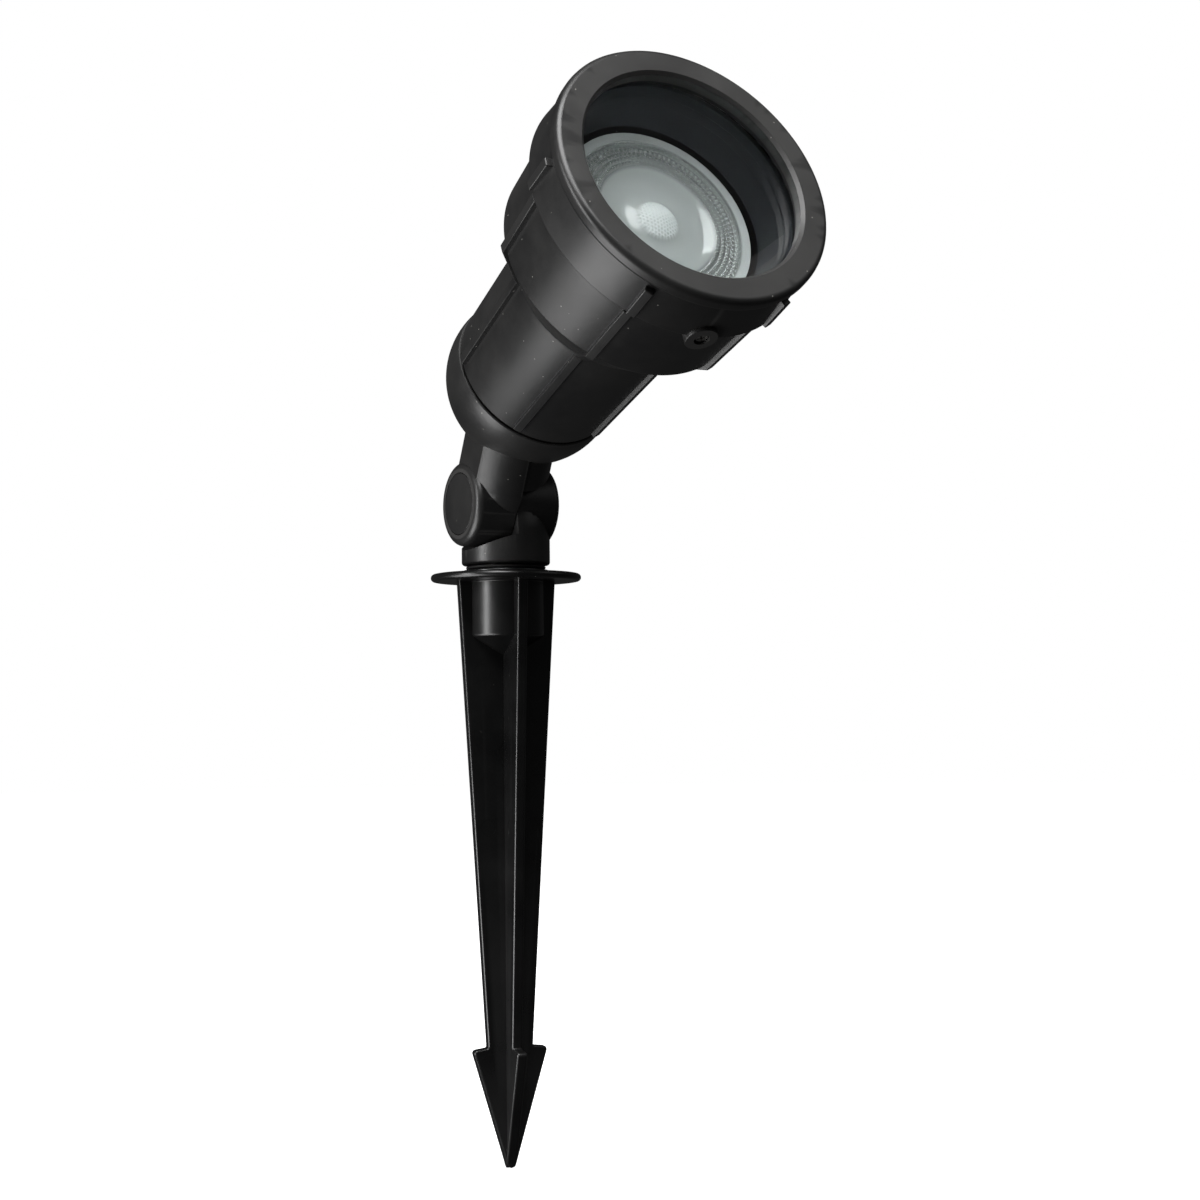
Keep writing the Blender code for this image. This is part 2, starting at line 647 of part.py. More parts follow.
def ribs(name, points, angles, parent):
    """A ring of equal ribs. Points are (distance behind the front, outer radius)."""
    bm = bmesh.new()
    for angle in angles:
        out = Vector((math.cos(angle), math.sin(angle), 0.0))
        side = Vector((-math.sin(angle), math.cos(angle), 0.0)) * (RIB_W / 2)
        rows = []
        for station, radius in points:
            height = Vector((0.0, 0.0, ahead(station)))
            top = out * radius + height
            foot = out * (radius - RIB_DEPTH) + height
            corners = (top - side, top + side, foot + side, foot - side)
            rows.append([bm.verts.new(corner) for corner in corners])
        for near, far in zip(rows, rows[1:]):
            for k in range(4):
                bm.faces.new((near[k], near[(k + 1) % 4], far[(k + 1) % 4], far[k]))
        bm.faces.new(rows[0])
        bm.faces.new(rows[-1][::-1])
    return add_object(name, bm, None, parent)


def head_body(head):
    end = SEAM_STATION
    step_end = STEP_STATION + STEP_LENGTH
    outer = [
        (BODY_STATION, 0.0), (BODY_STATION, BODY_MOUTH_R),
        (CAP_LENGTH, BODY_MOUTH_R), (STEP_STATION, BODY_STEP_R), (step_end, SLIM_FRONT_R),
        (end - SEAM_GROOVE, SLIM_REAR_R), (end - SEAM_GROOVE, SLIM_REAR_R - SEAM_GROOVE),
        (end, SLIM_REAR_R - SEAM_GROOVE), (end, 0.0),
    ]
    body = turned("head_body", stations(outer), FINE, BLACK, head)
    join(body, ribs("body_ribs", [
        (CAP_LENGTH + BODY_RIB_H, BODY_MOUTH_R + BODY_RIB_H),
        (STEP_STATION, BODY_STEP_R + BODY_RIB_H), (step_end, SLIM_FRONT_R + BODY_RIB_H),
        (end - SEAM_GROOVE - BODY_RIB_H, SLIM_REAR_R + BODY_RIB_H),
    ], BODY_RIB_ANGLES, head))

    hollow = [
        (BODY_STATION - OVERLAP, 0.0), (BODY_STATION - OVERLAP, BODY_MOUTH_R - WALL),
        (CAP_LENGTH, BODY_MOUTH_R - WALL), (STEP_STATION - WALL / 2, BODY_STEP_R - WALL),
        (step_end - WALL / 2, SLIM_FRONT_R - WALL), (BULKHEAD_STATION, BODY_IN_R),
        (BULKHEAD_STATION, 0.0),
    ]
    cut(body, turned("body_hollow", stations(hollow), FINE, parent=head))
    gasket_in = DOME_GASKET_IN - GAP
    gasket_out = DOME_GASKET_IN + DOME_GASKET_W + GAP
    groove_station = end - DOME_GASKET_T - GAP
    inner_wall = gasket_in - WALL / 2
    rear = [
        (BULKHEAD_END, 0.0), (BULKHEAD_END, inner_wall), (end + OVERLAP, inner_wall),
        (end + OVERLAP, 0.0),
    ]
    cut(body, turned("body_rear_hollow", stations(rear), FINE, parent=head))
    groove = tube(gasket_in, gasket_out, ahead(end + OVERLAP), ahead(groove_station))
    cut(body, turned("gasket_groove", groove, FINE, parent=head))
    hatch = rod(BULKHEAD_HOLE_R, ahead(BULKHEAD_END + OVERLAP), ahead(BULKHEAD_STATION - OVERLAP))
    cut(body, turned("bulkhead_hole", hatch, SMALL, parent=head))
    for index, angle in enumerate(POST_ANGLES):
        drill = rod(DOME_SHANK_R + GAP, ahead(BULKHEAD_END + OVERLAP),
                    ahead(BULKHEAD_STATION - OVERLAP))
        hole = turned("bulkhead_screw_hole_%d" % index, drill, TINY, parent=head)
        cut(body, at_angle(hole, POST_CIRCLE_R, angle))
    for index, side in enumerate((1, -1)):
        drill = rod(SMALL_SHANK_R + GAP, ahead(BULKHEAD_END + OVERLAP),
                    ahead(BULKHEAD_STATION - OVERLAP))
        hole = turned("bracket_screw_hole_%d" % index, drill, TINY, parent=head)
        hole.location.x = side * bracket_screw_x()
        cut(body, hole)
    for index, side in enumerate((1, -1)):
        drill = rod(CAP_SCREW_SHANK_R + GAP, BODY_MOUTH_R - 2 * WALL, BODY_MOUTH_R + OVERLAP)
        cut(body, radial("body_cap_hole_%d" % index, drill, side, TINY, head))


def radial(name, profile, side, segments, head, look=None):
    """A turned piece laid along the head's +Y or -Y at the cap screws' station."""
    piece = turned(name, profile, segments, look, head)
    piece.rotation_euler = (-side * math.pi / 2, 0.0, 0.0)
    piece.location = (0.0, 0.0, ahead(CAP_LENGTH))
    return piece


def dome_joint_pieces(head):
    low = ahead(SEAM_STATION)
    turned("dome_gasket", tube(DOME_GASKET_IN, DOME_GASKET_IN + DOME_GASKET_W, low,
                               low + DOME_GASKET_T), FINE, RUBBER, head)
    seat = ahead(BULKHEAD_STATION - GAP)
    tip = ahead(dome_screw_end())
    for index, angle in enumerate(POST_ANGLES):
        screw = turned("dome_screw_%d" % (index + 1), [
            (0.0, seat + DOME_HEAD_H), (DOME_HEAD_R * 0.6, seat + DOME_HEAD_H),
            (DOME_HEAD_R, seat + DOME_HEAD_H / 2), (DOME_HEAD_R, seat), (DOME_SHANK_R, seat),
            (DOME_SHANK_R, tip + DOME_SHANK_R), (0.0, tip),
        ], TINY, STEEL, head)
        at_angle(screw, POST_CIRCLE_R, angle)


# ---------------------------------------------------------------- front cap

def front_cap(head):
    outer = [
        (0.0, 0.0), (0.0, CAP_R - RING_ROUND), (RING_ROUND * 0.25, CAP_R - RING_ROUND * 0.35),
        (RING_ROUND, CAP_R), (RING_T, CAP_R), (RING_T + SKIRT_SET_BACK, CAP_R - SKIRT_SET_BACK),
        (CAP_LENGTH, CAP_R), (CAP_LENGTH, 0.0),
    ]
    cap = turned("front_cap", stations(outer), FINE, BLACK, head)
    join(cap, ribs("cap_ribs", [
        (RING_T + 2 * SKIRT_SET_BACK, CAP_R + CAP_RIB_H),
        (CAP_LENGTH - HALF_GAP, CAP_R + CAP_RIB_H),
    ], CAP_RIB_ANGLES, head))
    for index, side in enumerate((1, -1)):
        boss = radial("cap_boss_%d" % index, rod(CAP_BOSS_R, GLASS_R, boss_face_r()), side,
                      SMALL, head)
        join(cap, boss)
    inside = [
        (-OVERLAP, 0.0), (-OVERLAP, OPENING_R), (LEDGE_T, OPENING_R), (LEDGE_T, GLASS_SEAT_R),
        (LINER_STATION, GLASS_SEAT_R), (LINER_STATION, SKIRT_IN_R),
        (CAP_LENGTH + 2 * CAP_BOSS_R, SKIRT_IN_R), (CAP_LENGTH + 2 * CAP_BOSS_R, 0.0),
    ]
    cut(cap, turned("cap_inside", stations(inside), FINE, parent=head))
    seat = boss_face_r() - CAP_SCREW_SUNK - CAP_SCREW_HEAD_H - GAP
    for index, side in enumerate((1, -1)):
        drill = [
            (0.0, boss_face_r() + OVERLAP), (CAP_SCREW_HEAD_R + GAP, boss_face_r() + OVERLAP),
            (CAP_SCREW_HEAD_R + GAP, seat), (CAP_SCREW_SHANK_R + GAP, seat),
            (CAP_SCREW_SHANK_R + GAP, GLASS_R), (0.0, GLASS_R),
        ]
        cut(cap, radial("cap_screw_hole_%d" % index, drill, side, TINY, head))


def boss_face_r():
    """Distance from the head's axis to the flat face of a cap boss."""
    return CAP_R + CAP_BOSS_PROUD


def cap_pieces(head):
    top = boss_face_r() - CAP_SCREW_SUNK
    under = top - CAP_SCREW_HEAD_H
    tip = BODY_MOUTH_R - WALL + GAP
    for name, side in (("cap_screw_upper", 1), ("cap_screw_lower", -1)):
        radial(name, [
            (0.0, top), (CAP_SCREW_HEAD_R, top), (CAP_SCREW_HEAD_R, under),
            (CAP_SCREW_SHANK_R, under), (CAP_SCREW_SHANK_R, tip), (0.0, tip),
        ], side, TINY, head, STEEL)

    gasket_station = LEDGE_T + GAP
    turned("glass_gasket", stations([
        (gasket_station, GLASS_R - GLASS_GASKET_W), (gasket_station, GLASS_R),
        (gasket_station + GLASS_GASKET_T, GLASS_R),
        (gasket_station + GLASS_GASKET_T, GLASS_R - GLASS_GASKET_W),
    ]), FINE, RUBBER, head)
    glass_end = GLASS_STATION + GLASS_T
    turned("glass_cover", rod(GLASS_R, ahead(glass_end), ahead(GLASS_STATION)), FINE, CLEAR, head)
    cap_gasket = LINER_STATION + GAP
    turned("cap_gasket", stations([
        (cap_gasket, BODY_MOUTH_R - WALL), (cap_gasket, BODY_MOUTH_R),
        (cap_gasket + CAP_GASKET_T, BODY_MOUTH_R), (cap_gasket + CAP_GASKET_T,
                                                     BODY_MOUTH_R - WALL),
    ]), FINE, RUBBER, head)
    outer_r = min(GLASS_SEAT_R, BODY_MOUTH_R - WALL) - GAP
    rear = LAMP_STATION - 2 * GAP
    turned("glare_liner", stations([
        (LINER_STATION, outer_r - LINER_T), (LINER_STATION, outer_r),
        (LINER_STATION + LINER_T, outer_r), (rear, LINER_REAR_R + LINER_T),
        (rear, LINER_REAR_R),
    ]), FINE, BLACK, head)


# ---------------------------------------------------------------- lamp

def lamp_pieces(head):
    turned("lamp_lens", stations([
        (LAMP_STATION, 0.0), (LAMP_STATION, LAMP_R), (LAMP_STATION + LENS_T, LAMP_R),
        (LAMP_STATION + LENS_T, LENS_CUP_R), (LAMP_STATION + LENS_DEPTH, LENS_TIP_R),
        (LAMP_STATION + LENS_DEPTH, 0.0),
    ]), FINE, CLEAR, head)
    rim = LAMP_STATION + LENS_T + GAP
    tail = LAMP_END - LAMP_BASE_T - GAP
    middle = (rim + tail) / 2
    middle_r = (LAMP_R + LAMP_TAIL_R) / 2
    turned("lamp_shell", stations([
        (rim, LAMP_R - LAMP_WALL), (rim, LAMP_R), (rim + 3 * LAMP_WALL, LAMP_R - LAMP_WALL / 2),
        (middle, middle_r), (tail - 2 * LAMP_WALL, LAMP_TAIL_R), (tail, LAMP_TAIL_R),
        (tail, LAMP_TAIL_R - LAMP_WALL), (tail - 2 * LAMP_WALL, LAMP_TAIL_R - LAMP_WALL),
        (middle, middle_r - LAMP_WALL), (rim + 3 * LAMP_WALL, LAMP_R - 2 * LAMP_WALL),
    ]), FINE, WHITE, head)

    chip = LAMP_STATION + LENS_DEPTH + GAP
    board = chip + CHIP_T + GAP
    turned("led_chip", rod(CHIP_R, ahead(chip + CHIP_T), ahead(chip)), SMALL, BRASS, head)
    turned("led_board", rod(BOARD_R, ahead(board + BOARD_T), ahead(board)), MEDIUM, WHITE, head)
    driver = board + BOARD_T + GAP
    driver_end = min(driver + DRIVER_L, tail)
    prism("driver_board", rectangle(min(DRIVER_W / 2, LAMP_TAIL_R - 2 * LAMP_WALL), BOARD_T / 2),
          ahead(driver_end), ahead(driver), GREEN, head)
    capacitor = turned("driver_capacitor", rod(CAPACITOR_R, ahead(driver + GAP + CAPACITOR_L),
                                               ahead(driver + GAP)), SMALL, BLACK, head)
    capacitor.location.y = BOARD_T / 2 + GAP + CAPACITOR_R

    base_top = LAMP_END - LAMP_BASE_T
    base = turned("lamp_base", rod(LAMP_BASE_R, ahead(LAMP_END), ahead(base_top)), MEDIUM,
                  CERAMIC, head)
    for index, (name, side) in enumerate((("lamp_pin_live", 1), ("lamp_pin_neutral", -1))):
        root = ahead(base_top + GAP)
        tip = ahead(LAMP_END + LAMP_PIN_L)
        collar = tip + LAMP_PIN_HEAD
        pin = turned(name, [
            (0.0, root), (LAMP_PIN_NECK_R, root), (LAMP_PIN_NECK_R, collar),
            (LAMP_PIN_R, collar), (LAMP_PIN_R, tip), (0.0, tip),
        ], TINY, BRASS, head)
        hole = turned("base_hole_%d" % index, rod(LAMP_PIN_NECK_R + GAP, ahead(LAMP_END) - OVERLAP,
                                                  root + OVERLAP), TINY, parent=head)
        pin.location.y = side * PIN_SPACING / 2
        hole.location.y = side * PIN_SPACING / 2
        cut(base, hole)


# ---------------------------------------------------------------- lampholder

def arc_slot(half_width, start, stop, side, steps=4):
    """Outline of a slot curved about the head's axis, with round ends."""
    middle = PIN_SPACING / 2
    turn = side * math.pi / 2
    angles = [turn + start + (stop - start) * i / steps for i in range(steps + 1)]
    inner = middle - half_width
    outer = middle + half_width
    edge = [(outer * math.cos(a), outer * math.sin(a)) for a in angles]
    back = [(inner * math.cos(a), inner * math.sin(a)) for a in reversed(angles)]
    return edge + end_cap(angles[-1], half_width, 1) + back + end_cap(angles[0], half_width, -1)


def end_cap(angle, half_width, way):
    """Points that round off one end of an arc slot."""
    middle = PIN_SPACING / 2
    turns = (0.25, 0.5, 0.75) if way > 0 else (-0.75, -0.5, -0.25)
    points = []
    for part in turns:
        phi = angle + part * math.pi
        x = middle * math.cos(angle) + half_width * math.cos(phi)
        y = middle * math.sin(angle) + half_width * math.sin(phi)
        points.append((x, y))
    return points


def lampholder_pieces(head):
    holder = turned("lampholder", rod(HOLDER_R, ahead(HOLDER_END), ahead(HOLDER_STATION)),
                    MEDIUM, CERAMIC, head)
    slot_half = LAMP_PIN_R + PIN_CLEAR
    contact_half = slot_half - GAP
    back = ahead(HOLDER_END) + GAP
    names = ("contact_live", "contact_neutral")
    for index, side in enumerate((1, -1)):
        slot = prism("pin_slot_%d" % index, arc_slot(slot_half, -TWIST_SPARE, TWIST + TWIST_SPARE,
                                                     side),
                     ahead(HOLDER_END) - OVERLAP, ahead(HOLDER_STATION) + OVERLAP, parent=head)
        cut(holder, slot)
        prism(names[index], arc_slot(contact_half, -TWIST_SPARE, TWIST + TWIST_SPARE, side),
              back, back + CONTACT_T, BRASS, head)

    top = ahead(BRACKET_STATION)
    foot = ahead(BRACKET_STATION + BRACKET_H)
    outer = BRACKET_SPAN
    inner = BRACKET_SPAN - BRACKET_T
    toe = BRACKET_SPAN + BRACKET_FOOT
    side_view = [
        (-toe, foot), (-toe, foot + BRACKET_T), (-outer, foot + BRACKET_T), (-outer, top),
        (outer, top), (outer, foot + BRACKET_T), (toe, foot + BRACKET_T), (toe, foot),
        (inner, foot), (inner, top - BRACKET_T), (-inner, top - BRACKET_T), (-inner, foot),
    ]
    bracket = prism("holder_bracket", side_view, -BRACKET_W / 2, BRACKET_W / 2, STEEL, head)
    bracket.rotation_euler.x = math.pi / 2

    for index, side in enumerate((1, -1)):
        under = ahead(BRACKET_STATION + BRACKET_T + GAP)
        tip = ahead(HOLDER_END - HOLDER_SCREW_L)
        screw = turned("holder_screw_%d" % (index + 1), [
            (0.0, tip), (SMALL_SHANK_R, tip), (SMALL_SHANK_R, under), (SMALL_HEAD_R, under),
            (SMALL_HEAD_R, under - SMALL_HEAD_H), (0.0, under - SMALL_HEAD_H),
        ], TINY, STEEL, head)
        screw.location.x = side * HOLDER_SCREW_X
        hole = turned("holder_screw_hole_%d" % index, rod(SMALL_SHANK_R + GAP, under,
                                                          tip + GAP), TINY, parent=head)
        hole.location.x = side * HOLDER_SCREW_X
        cut(bracket, hole)
        cut(holder, hole)

        seat = ahead(BULKHEAD_STATION - 2 * GAP - BRACKET_T)
        foot_screw = turned("bracket_screw_%d" % (index + 1), [
            (0.0, seat + SMALL_HEAD_H), (SMALL_HEAD_R, seat + SMALL_HEAD_H), (SMALL_HEAD_R, seat),
            (SMALL_SHANK_R, seat), (SMALL_SHANK_R, ahead(BULKHEAD_END)), (0.0, ahead(BULKHEAD_END)),
        ], TINY, STEEL, head)
        foot_screw.location.x = side * bracket_screw_x()
        foot_hole = turned("bracket_hole_%d" % index, rod(SMALL_SHANK_R + GAP, foot - OVERLAP,
                                                          foot + BRACKET_T + OVERLAP),
                           TINY, parent=head)
        foot_hole.location.x = side * bracket_screw_x()
        cut(bracket, foot_hole)


def bracket_screw_x():
    return BRACKET_SPAN + BRACKET_FOOT / 2


def wiring(head):
    top = ahead(TERMINAL_STATION)
    block = prism("terminal_block", rectangle(TERMINAL_X / 2, TERMINAL_Y / 2),
                  top - TERMINAL_L, top, WHITE, head)
    for index, (name, side) in enumerate((("lead_live", 1), ("lead_neutral", -1))):
        hole = turned("terminal_bore_%d" % index,
                      rod(TERMINAL_BORE_R, top - TERMINAL_L - OVERLAP, top + OVERLAP), TINY,
                      parent=head)
        hole.location.y = side * TERMINAL_Y / 4
        cut(block, hole)
        lead(name, side, head)


def lead(name, side, head):
    """Short insulated wire from the holder's back to the terminal block."""
    start = ahead(HOLDER_END + GAP)
    end = ahead(TERMINAL_STATION) - TERMINAL_L / 4
    end_y = side * TERMINAL_Y / 4
    curve = bpy.data.curves.new(name, "CURVE")
    curve.dimensions = "3D"
    curve.bevel_depth = LEAD_R
    curve.bevel_resolution = 2
    curve.use_fill_caps = True
    spline = curve.splines.new("POLY")
    count = 9
    spline.points.add(count - 1)
    for i in range(count):
        share = i / (count - 1)
        ease = share * share * (3 - 2 * share)
        y = side * LEAD_Y + (end_y - side * LEAD_Y) * ease
        x = LEAD_BOW * math.sin(math.pi * share)
        spline.points[i].co = (x, y, start + (end - start) * share, 1.0)
    curve.materials.append(finish(name, (0.30, 0.12, 0.06) if side > 0 else (0.05, 0.12, 0.35),
                                  0.5))
    obj = bpy.data.objects.new(name, curve)
    bpy.context.collection.objects.link(obj)
    obj.parent = head


def main():
    clear_scene()
    pivot = frame_empty("pivot_axis", (0.0, 0.0, PIVOT_Z), 0.0)
    neck = frame_empty("neck_axis", (0.0, 0.0, 0.0), NECK_LEAN, pivot)
    head = frame_empty("head_axis", (0.0, 0.0, NECK_LENGTH), NECK_TO_HEAD, neck)
    ground_spike()
    swivel_base(pivot)
    stem_pieces(pivot)
    knuckle_fasteners(pivot, neck)
    rear_dome(head, neck)
    head_body(head)
    dome_joint_pieces(head)
    front_cap(head)
    cap_pieces(head)
    lamp_pieces(head)
    lampholder_pieces(head)
    wiring(head)
    bpy.context.view_layer.update()


main()
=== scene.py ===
"""Looks of the garden spike light: high-resolution visible pieces, materials, floor,
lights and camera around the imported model.

Frame: metres, +Z up along the spike, origin at the centre of the flange's underside.
The knuckle's pin lies along X. In the head's own frame +Z points out of the lamp and
the origin is the centre of the round back; distances behind the front are "stations".
"""
import json
import math

import bmesh
import bpy
from mathutils import Matrix, Vector

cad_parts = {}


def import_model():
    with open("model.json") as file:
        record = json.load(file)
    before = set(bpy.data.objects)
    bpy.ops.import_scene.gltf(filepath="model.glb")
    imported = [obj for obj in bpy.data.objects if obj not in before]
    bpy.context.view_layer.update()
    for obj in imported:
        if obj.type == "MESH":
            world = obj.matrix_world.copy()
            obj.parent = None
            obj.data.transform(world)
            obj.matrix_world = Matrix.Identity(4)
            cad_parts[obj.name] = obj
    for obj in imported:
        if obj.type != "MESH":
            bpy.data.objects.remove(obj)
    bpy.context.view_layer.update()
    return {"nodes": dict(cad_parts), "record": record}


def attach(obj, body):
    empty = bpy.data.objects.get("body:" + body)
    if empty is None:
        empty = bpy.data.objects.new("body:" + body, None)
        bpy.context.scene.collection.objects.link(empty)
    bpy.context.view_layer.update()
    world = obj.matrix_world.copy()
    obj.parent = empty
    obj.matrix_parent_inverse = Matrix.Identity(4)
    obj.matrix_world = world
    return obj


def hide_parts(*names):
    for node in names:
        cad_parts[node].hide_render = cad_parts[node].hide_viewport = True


MM = 0.001
GAP = 0.3 * MM
HALF_GAP = GAP / 2
OVERLAP = 1.0 * MM
WELD = 0.0005 * MM

# Facets around a full turn, and on one rounded corner
ROUND = 144
COARSE = 64
CORNER_STEPS = 4

# Roundings of moulded and turned edges, from crisp to soft
CRISP = 0.12 * MM
FINE = 0.2 * MM
EDGE = 0.3 * MM
FULL = 0.35 * MM

# Ground spike
FLANGE_R = 20.0 * MM
FLANGE_T = 2.0 * MM
COLLAR_R = 11.4 * MM
COLLAR_H = 1.0 * MM
FIN_T = 2.8 * MM
FIN_TOP_R = 13.6 * MM
FIN_LOW_R = 6.2 * MM
SHANK_LENGTH = 123.0 * MM
BARB_R = 10.4 * MM
BARB_LENGTH = 31.3 * MM
BARB_SLOPE = 0.5 * MM
BARB_ROUND = 0.9 * MM
POINT_ROUND = 1.2 * MM
FLANGE_ROUND = 0.98 * MM            # nearly half the flange's thickness
SOCKET_ROUND = 0.9 * MM
TIP_R = 1.3 * MM
SPIKE_TURN = math.radians(-7.6)
STEM_R = 7.6 * MM
SOCKET_R = STEM_R + GAP
SOCKET_WALL = 2.2 * MM
SOCKET_OUTER_R = SOCKET_R + SOCKET_WALL
SOCKET_LENGTH = 14.5 * MM
SOCKET_FLOOR = 1.0 * MM
SOCKET_CONE = 5.3 * MM
CONE_R = 1.5 * MM
NOTCH_W = 7.0 * MM
NOTCH_H = 7.0 * MM
FIN_EDGE = 0.55 * MM
PIN_MARK_R = 2.1 * MM               # faint ejector marks on the fins
PIN_MARK_DEPTH = 0.06 * MM
PIN_MARK_Z = (-24.0 * MM, -65.0 * MM)

# Knuckle
STEM_LENGTH = 7.0 * MM
STEM_BORE_R = 4.5 * MM
STEM_BORE_TOP = 6.5 * MM
SNAP_GROOVE = 0.7 * MM
SNAP_LOW = -5.6 * MM
SNAP_TOP = -4.2 * MM
SNAP_R = 6.6 * MM
RING_SPACE = 1.3 * MM
RING_R = 10.6 * MM
BASE_R = 11.75 * MM
BASE_Z = FLANGE_T + COLLAR_H + RING_SPACE
PIVOT_Z = 20.3 * MM
SPLIT_X = -2.3 * MM
BASE_END_X = 11.0 * MM
HEAD_END_X = -13.8 * MM
NECK_SIDE_X = -13.2 * MM
BARREL_R = 11.2 * MM
BARREL_ROUND = 2.0 * MM
EAR_R = 10.75 * MM
TAPER = 7.0 * MM
DISH_R = 20.0 * MM
DISH_CLEAR = 12.2 * MM
NECK_R = 12.0 * MM
NECK_STEP = 0.3 * MM                # the two halves of the neck stand proud and back
CHAMBER_R = 6.8 * MM
CHAMBER_DEPTH = 4.5 * MM
HUB_R = 4.2 * MM                    # round the bolt, inside the chamber
HUB_SET = 0.7 * MM
BOLT_WAY_R = 2.2 * MM
BOLT_WAY_START = -4.0 * MM
PLUG_POCKET = 5.0 * MM
NUT_R = 4.2 * MM
NUT_DEPTH = 3.0 * MM
FOOT_H = 2.0 * MM
FOOT_ROUND = 0.8 * MM
COVER_R = 8.1 * MM
COVER_T = 1.2 * MM
COVER_AIR = 0.2 * MM
PLUG_R = 3.9 * MM
PLUG_T = 1.6 * MM

# Rest angles and lengths of the head
NECK_LEAN = math.radians(26.35)
NECK_TO_HEAD = math.radians(39.65)
NECK_LENGTH = 35.7 * MM
DOME_R = 22.5 * MM
DOME_WALL = 2.2 * MM
DOME_EDGE = 0.25 * MM
DOME_STATION = 88.5 * MM
SEAM_STATION = 84.8 * MM
SEAM_GROOVE = 0.5 * MM

# Lamp
LAMP_STATION = 19.3 * MM
LAMP_R = 24.85 * MM
LAMP_END = LAMP_STATION + 46.0 * MM
LENS_T = 3.2 * MM
LENS_DEPTH = 12.7 * MM
LENS_RIM_W = 4.85 * MM              # flat behind the lens, round its cup
LENS_CUP_R = LAMP_R - LENS_RIM_W
LENS_TIP_R = 8.5 * MM
LAMP_WALL = 1.3 * MM
LAMP_TAIL_R = 14.2 * MM
LAMP_BASE_T = 5.0 * MM
SHELL_ROUND = 3.0 * MM
BAND_IN = 15.6 * MM                 # rings of small prisms on the lamp's face
BAND_OUT = 22.2 * MM
BAND_RINGS = 5
BAND_COUNT = 96
BUMP_H = 0.5 * MM
PUPIL_R = 5.0 * MM                  # honeycomb at the centre
PUPIL_PITCH = 0.95 * MM
PUPIL_H = 0.16 * MM
PUPIL_RISE = 1.1 * MM
BOWL_DEPTH = 1.6 * MM               # hollow between the honeycomb and the rings

# Body, cap, glass and liner
WALL = 2.2 * MM
BODY_STATION = 9.0 * MM
LAMP_AIR = 5.05 * MM                # round the lamp, inside the wide part
DRAFT = 1.2 * MM                    # how much wider the body is at its mouth
BODY_STEP_R = LAMP_R + LAMP_AIR + WALL
BODY_MOUTH_R = BODY_STEP_R + DRAFT
STEP_STATION = 36.0 * MM
STEP_END = STEP_STATION + 11.0 * MM
STEP_ROUND = 1.2 * MM
STEP_END_ROUND = 1.5 * MM
SLIM_FRONT_R = 23.4 * MM
SLIM_REAR_R = 22.0 * MM
BULKHEAD_STATION = 79.9 * MM
SKIRT_IN_R = BODY_MOUTH_R + GAP
SKIRT_T = 2.05 * MM
CAP_R = SKIRT_IN_R + SKIRT_T
CAP_LENGTH = 14.5 * MM
RING_T = 3.2 * MM
RING_ROUND = 2.4 * MM
RING_STEP = 0.8 * MM                # behind the ring, down to the skirt
SKIRT_LIP = 1.0 * MM                # the skirt's edge flares over this length
SKIRT_FLARE = 0.1 * MM
SKIRT_SET_BACK = 0.9 * MM
OPENING_IN = 7.25 * MM              # from the cap's outside to the opening
OPENING_R = CAP_R - OPENING_IN
CHAMFER = 0.8 * MM
LEDGE_T = 3.0 * MM
GLASS_IN = 4.85 * MM                # from the cap's outside to the glass
GLASS_R = CAP_R - GLASS_IN
GLASS_T = 3.0 * MM
GLASS_STATION = 4.4 * MM
GASKET_W = 2.0 * MM
GASKET_T = 0.8 * MM
LINER_STATION = 7.7 * MM
LINER_AIR = 1.45 * MM               # between the lamp's face and the liner
LINER_REAR_R = LAMP_R + LINER_AIR
LINER_T = 1.4 * MM
BOSS_R = 4.0 * MM
BOSS_EDGE = 0.25 * MM
BOSS_FACE_R = CAP_R + 0.6 * MM
SCREW_R = 1.6 * MM
SCREW_H = 1.2 * MM
SCREW_SUNK = 0.4 * MM
SCREW_SHANK_R = 0.9 * MM
CROSS_W = 0.45 * MM
CROSS_L = 2.0 * MM
CROSS_DEPTH = 0.7 * MM
CROSS_TURNS = (35.0, 125.0)         # degrees
RIB_W = 2.4 * MM
RIB_DEPTH = 2.6 * MM
RIB_EDGE = 0.3 * MM
CAP_RIB_H = 0.85 * MM
BODY_RIB_H = 1.3 * MM
CAP_RIB_ANGLES = [math.radians(a) for a in (60.4, 122.5, 177.6, 240.4, 302.5, 357.6)]
BODY_RIB_ANGLES = [math.radians(a) for a in (0.0, 60.0, 120.0, 180.0, 240.0, 300.0)]

# Features per metre of the plastics' fine grain, mould ripple and flow marks, and specks
GRAIN_SCALE = 5200.0
RIPPLE_SCALE = 420.0
RIPPLE_DEPTH = 0.02 * MM
FLOW_SCALE = 55.0
SPECK_SCALE = 260.0

# Places
PIVOT = Matrix.Translation((0, 0, PIVOT_Z))
NECK = PIVOT @ Matrix.Rotation(NECK_LEAN, 4, "X")
HEAD = NECK @ Matrix.Translation((0, 0, NECK_LENGTH)) @ Matrix.Rotation(NECK_TO_HEAD, 4, "X")
ALONG_X = Matrix.Rotation(math.pi / 2, 4, "Y")
ALONG_MINUS_X = Matrix.Rotation(-math.pi / 2, 4, "Y")

# Stage
TIP_Z = -SHANK_LENGTH - BARB_LENGTH
FLOOR_R = 3.0
FLOOR_GLOW = 0.97
ROOM_LIGHT = 0.035
LAMP_AIM = (0.0, -0.04, 0.05)
HEAD_AIM = (0.0, -0.05, 0.08)

# Camera: place in metres, turn in degrees about X, Y and Z, lens in millimetres
CAMERA_PLACE = (-0.2575, -0.5006, -0.0355)
CAMERA_TURN = (93.094, 0.572, -29.734)
CAMERA_LENS = 63.43


# ---------------------------------------------------------------- mesh tools

def ahead(station):
    """Height in the head's frame of a distance behind the head's front."""
    return DOME_STATION - station


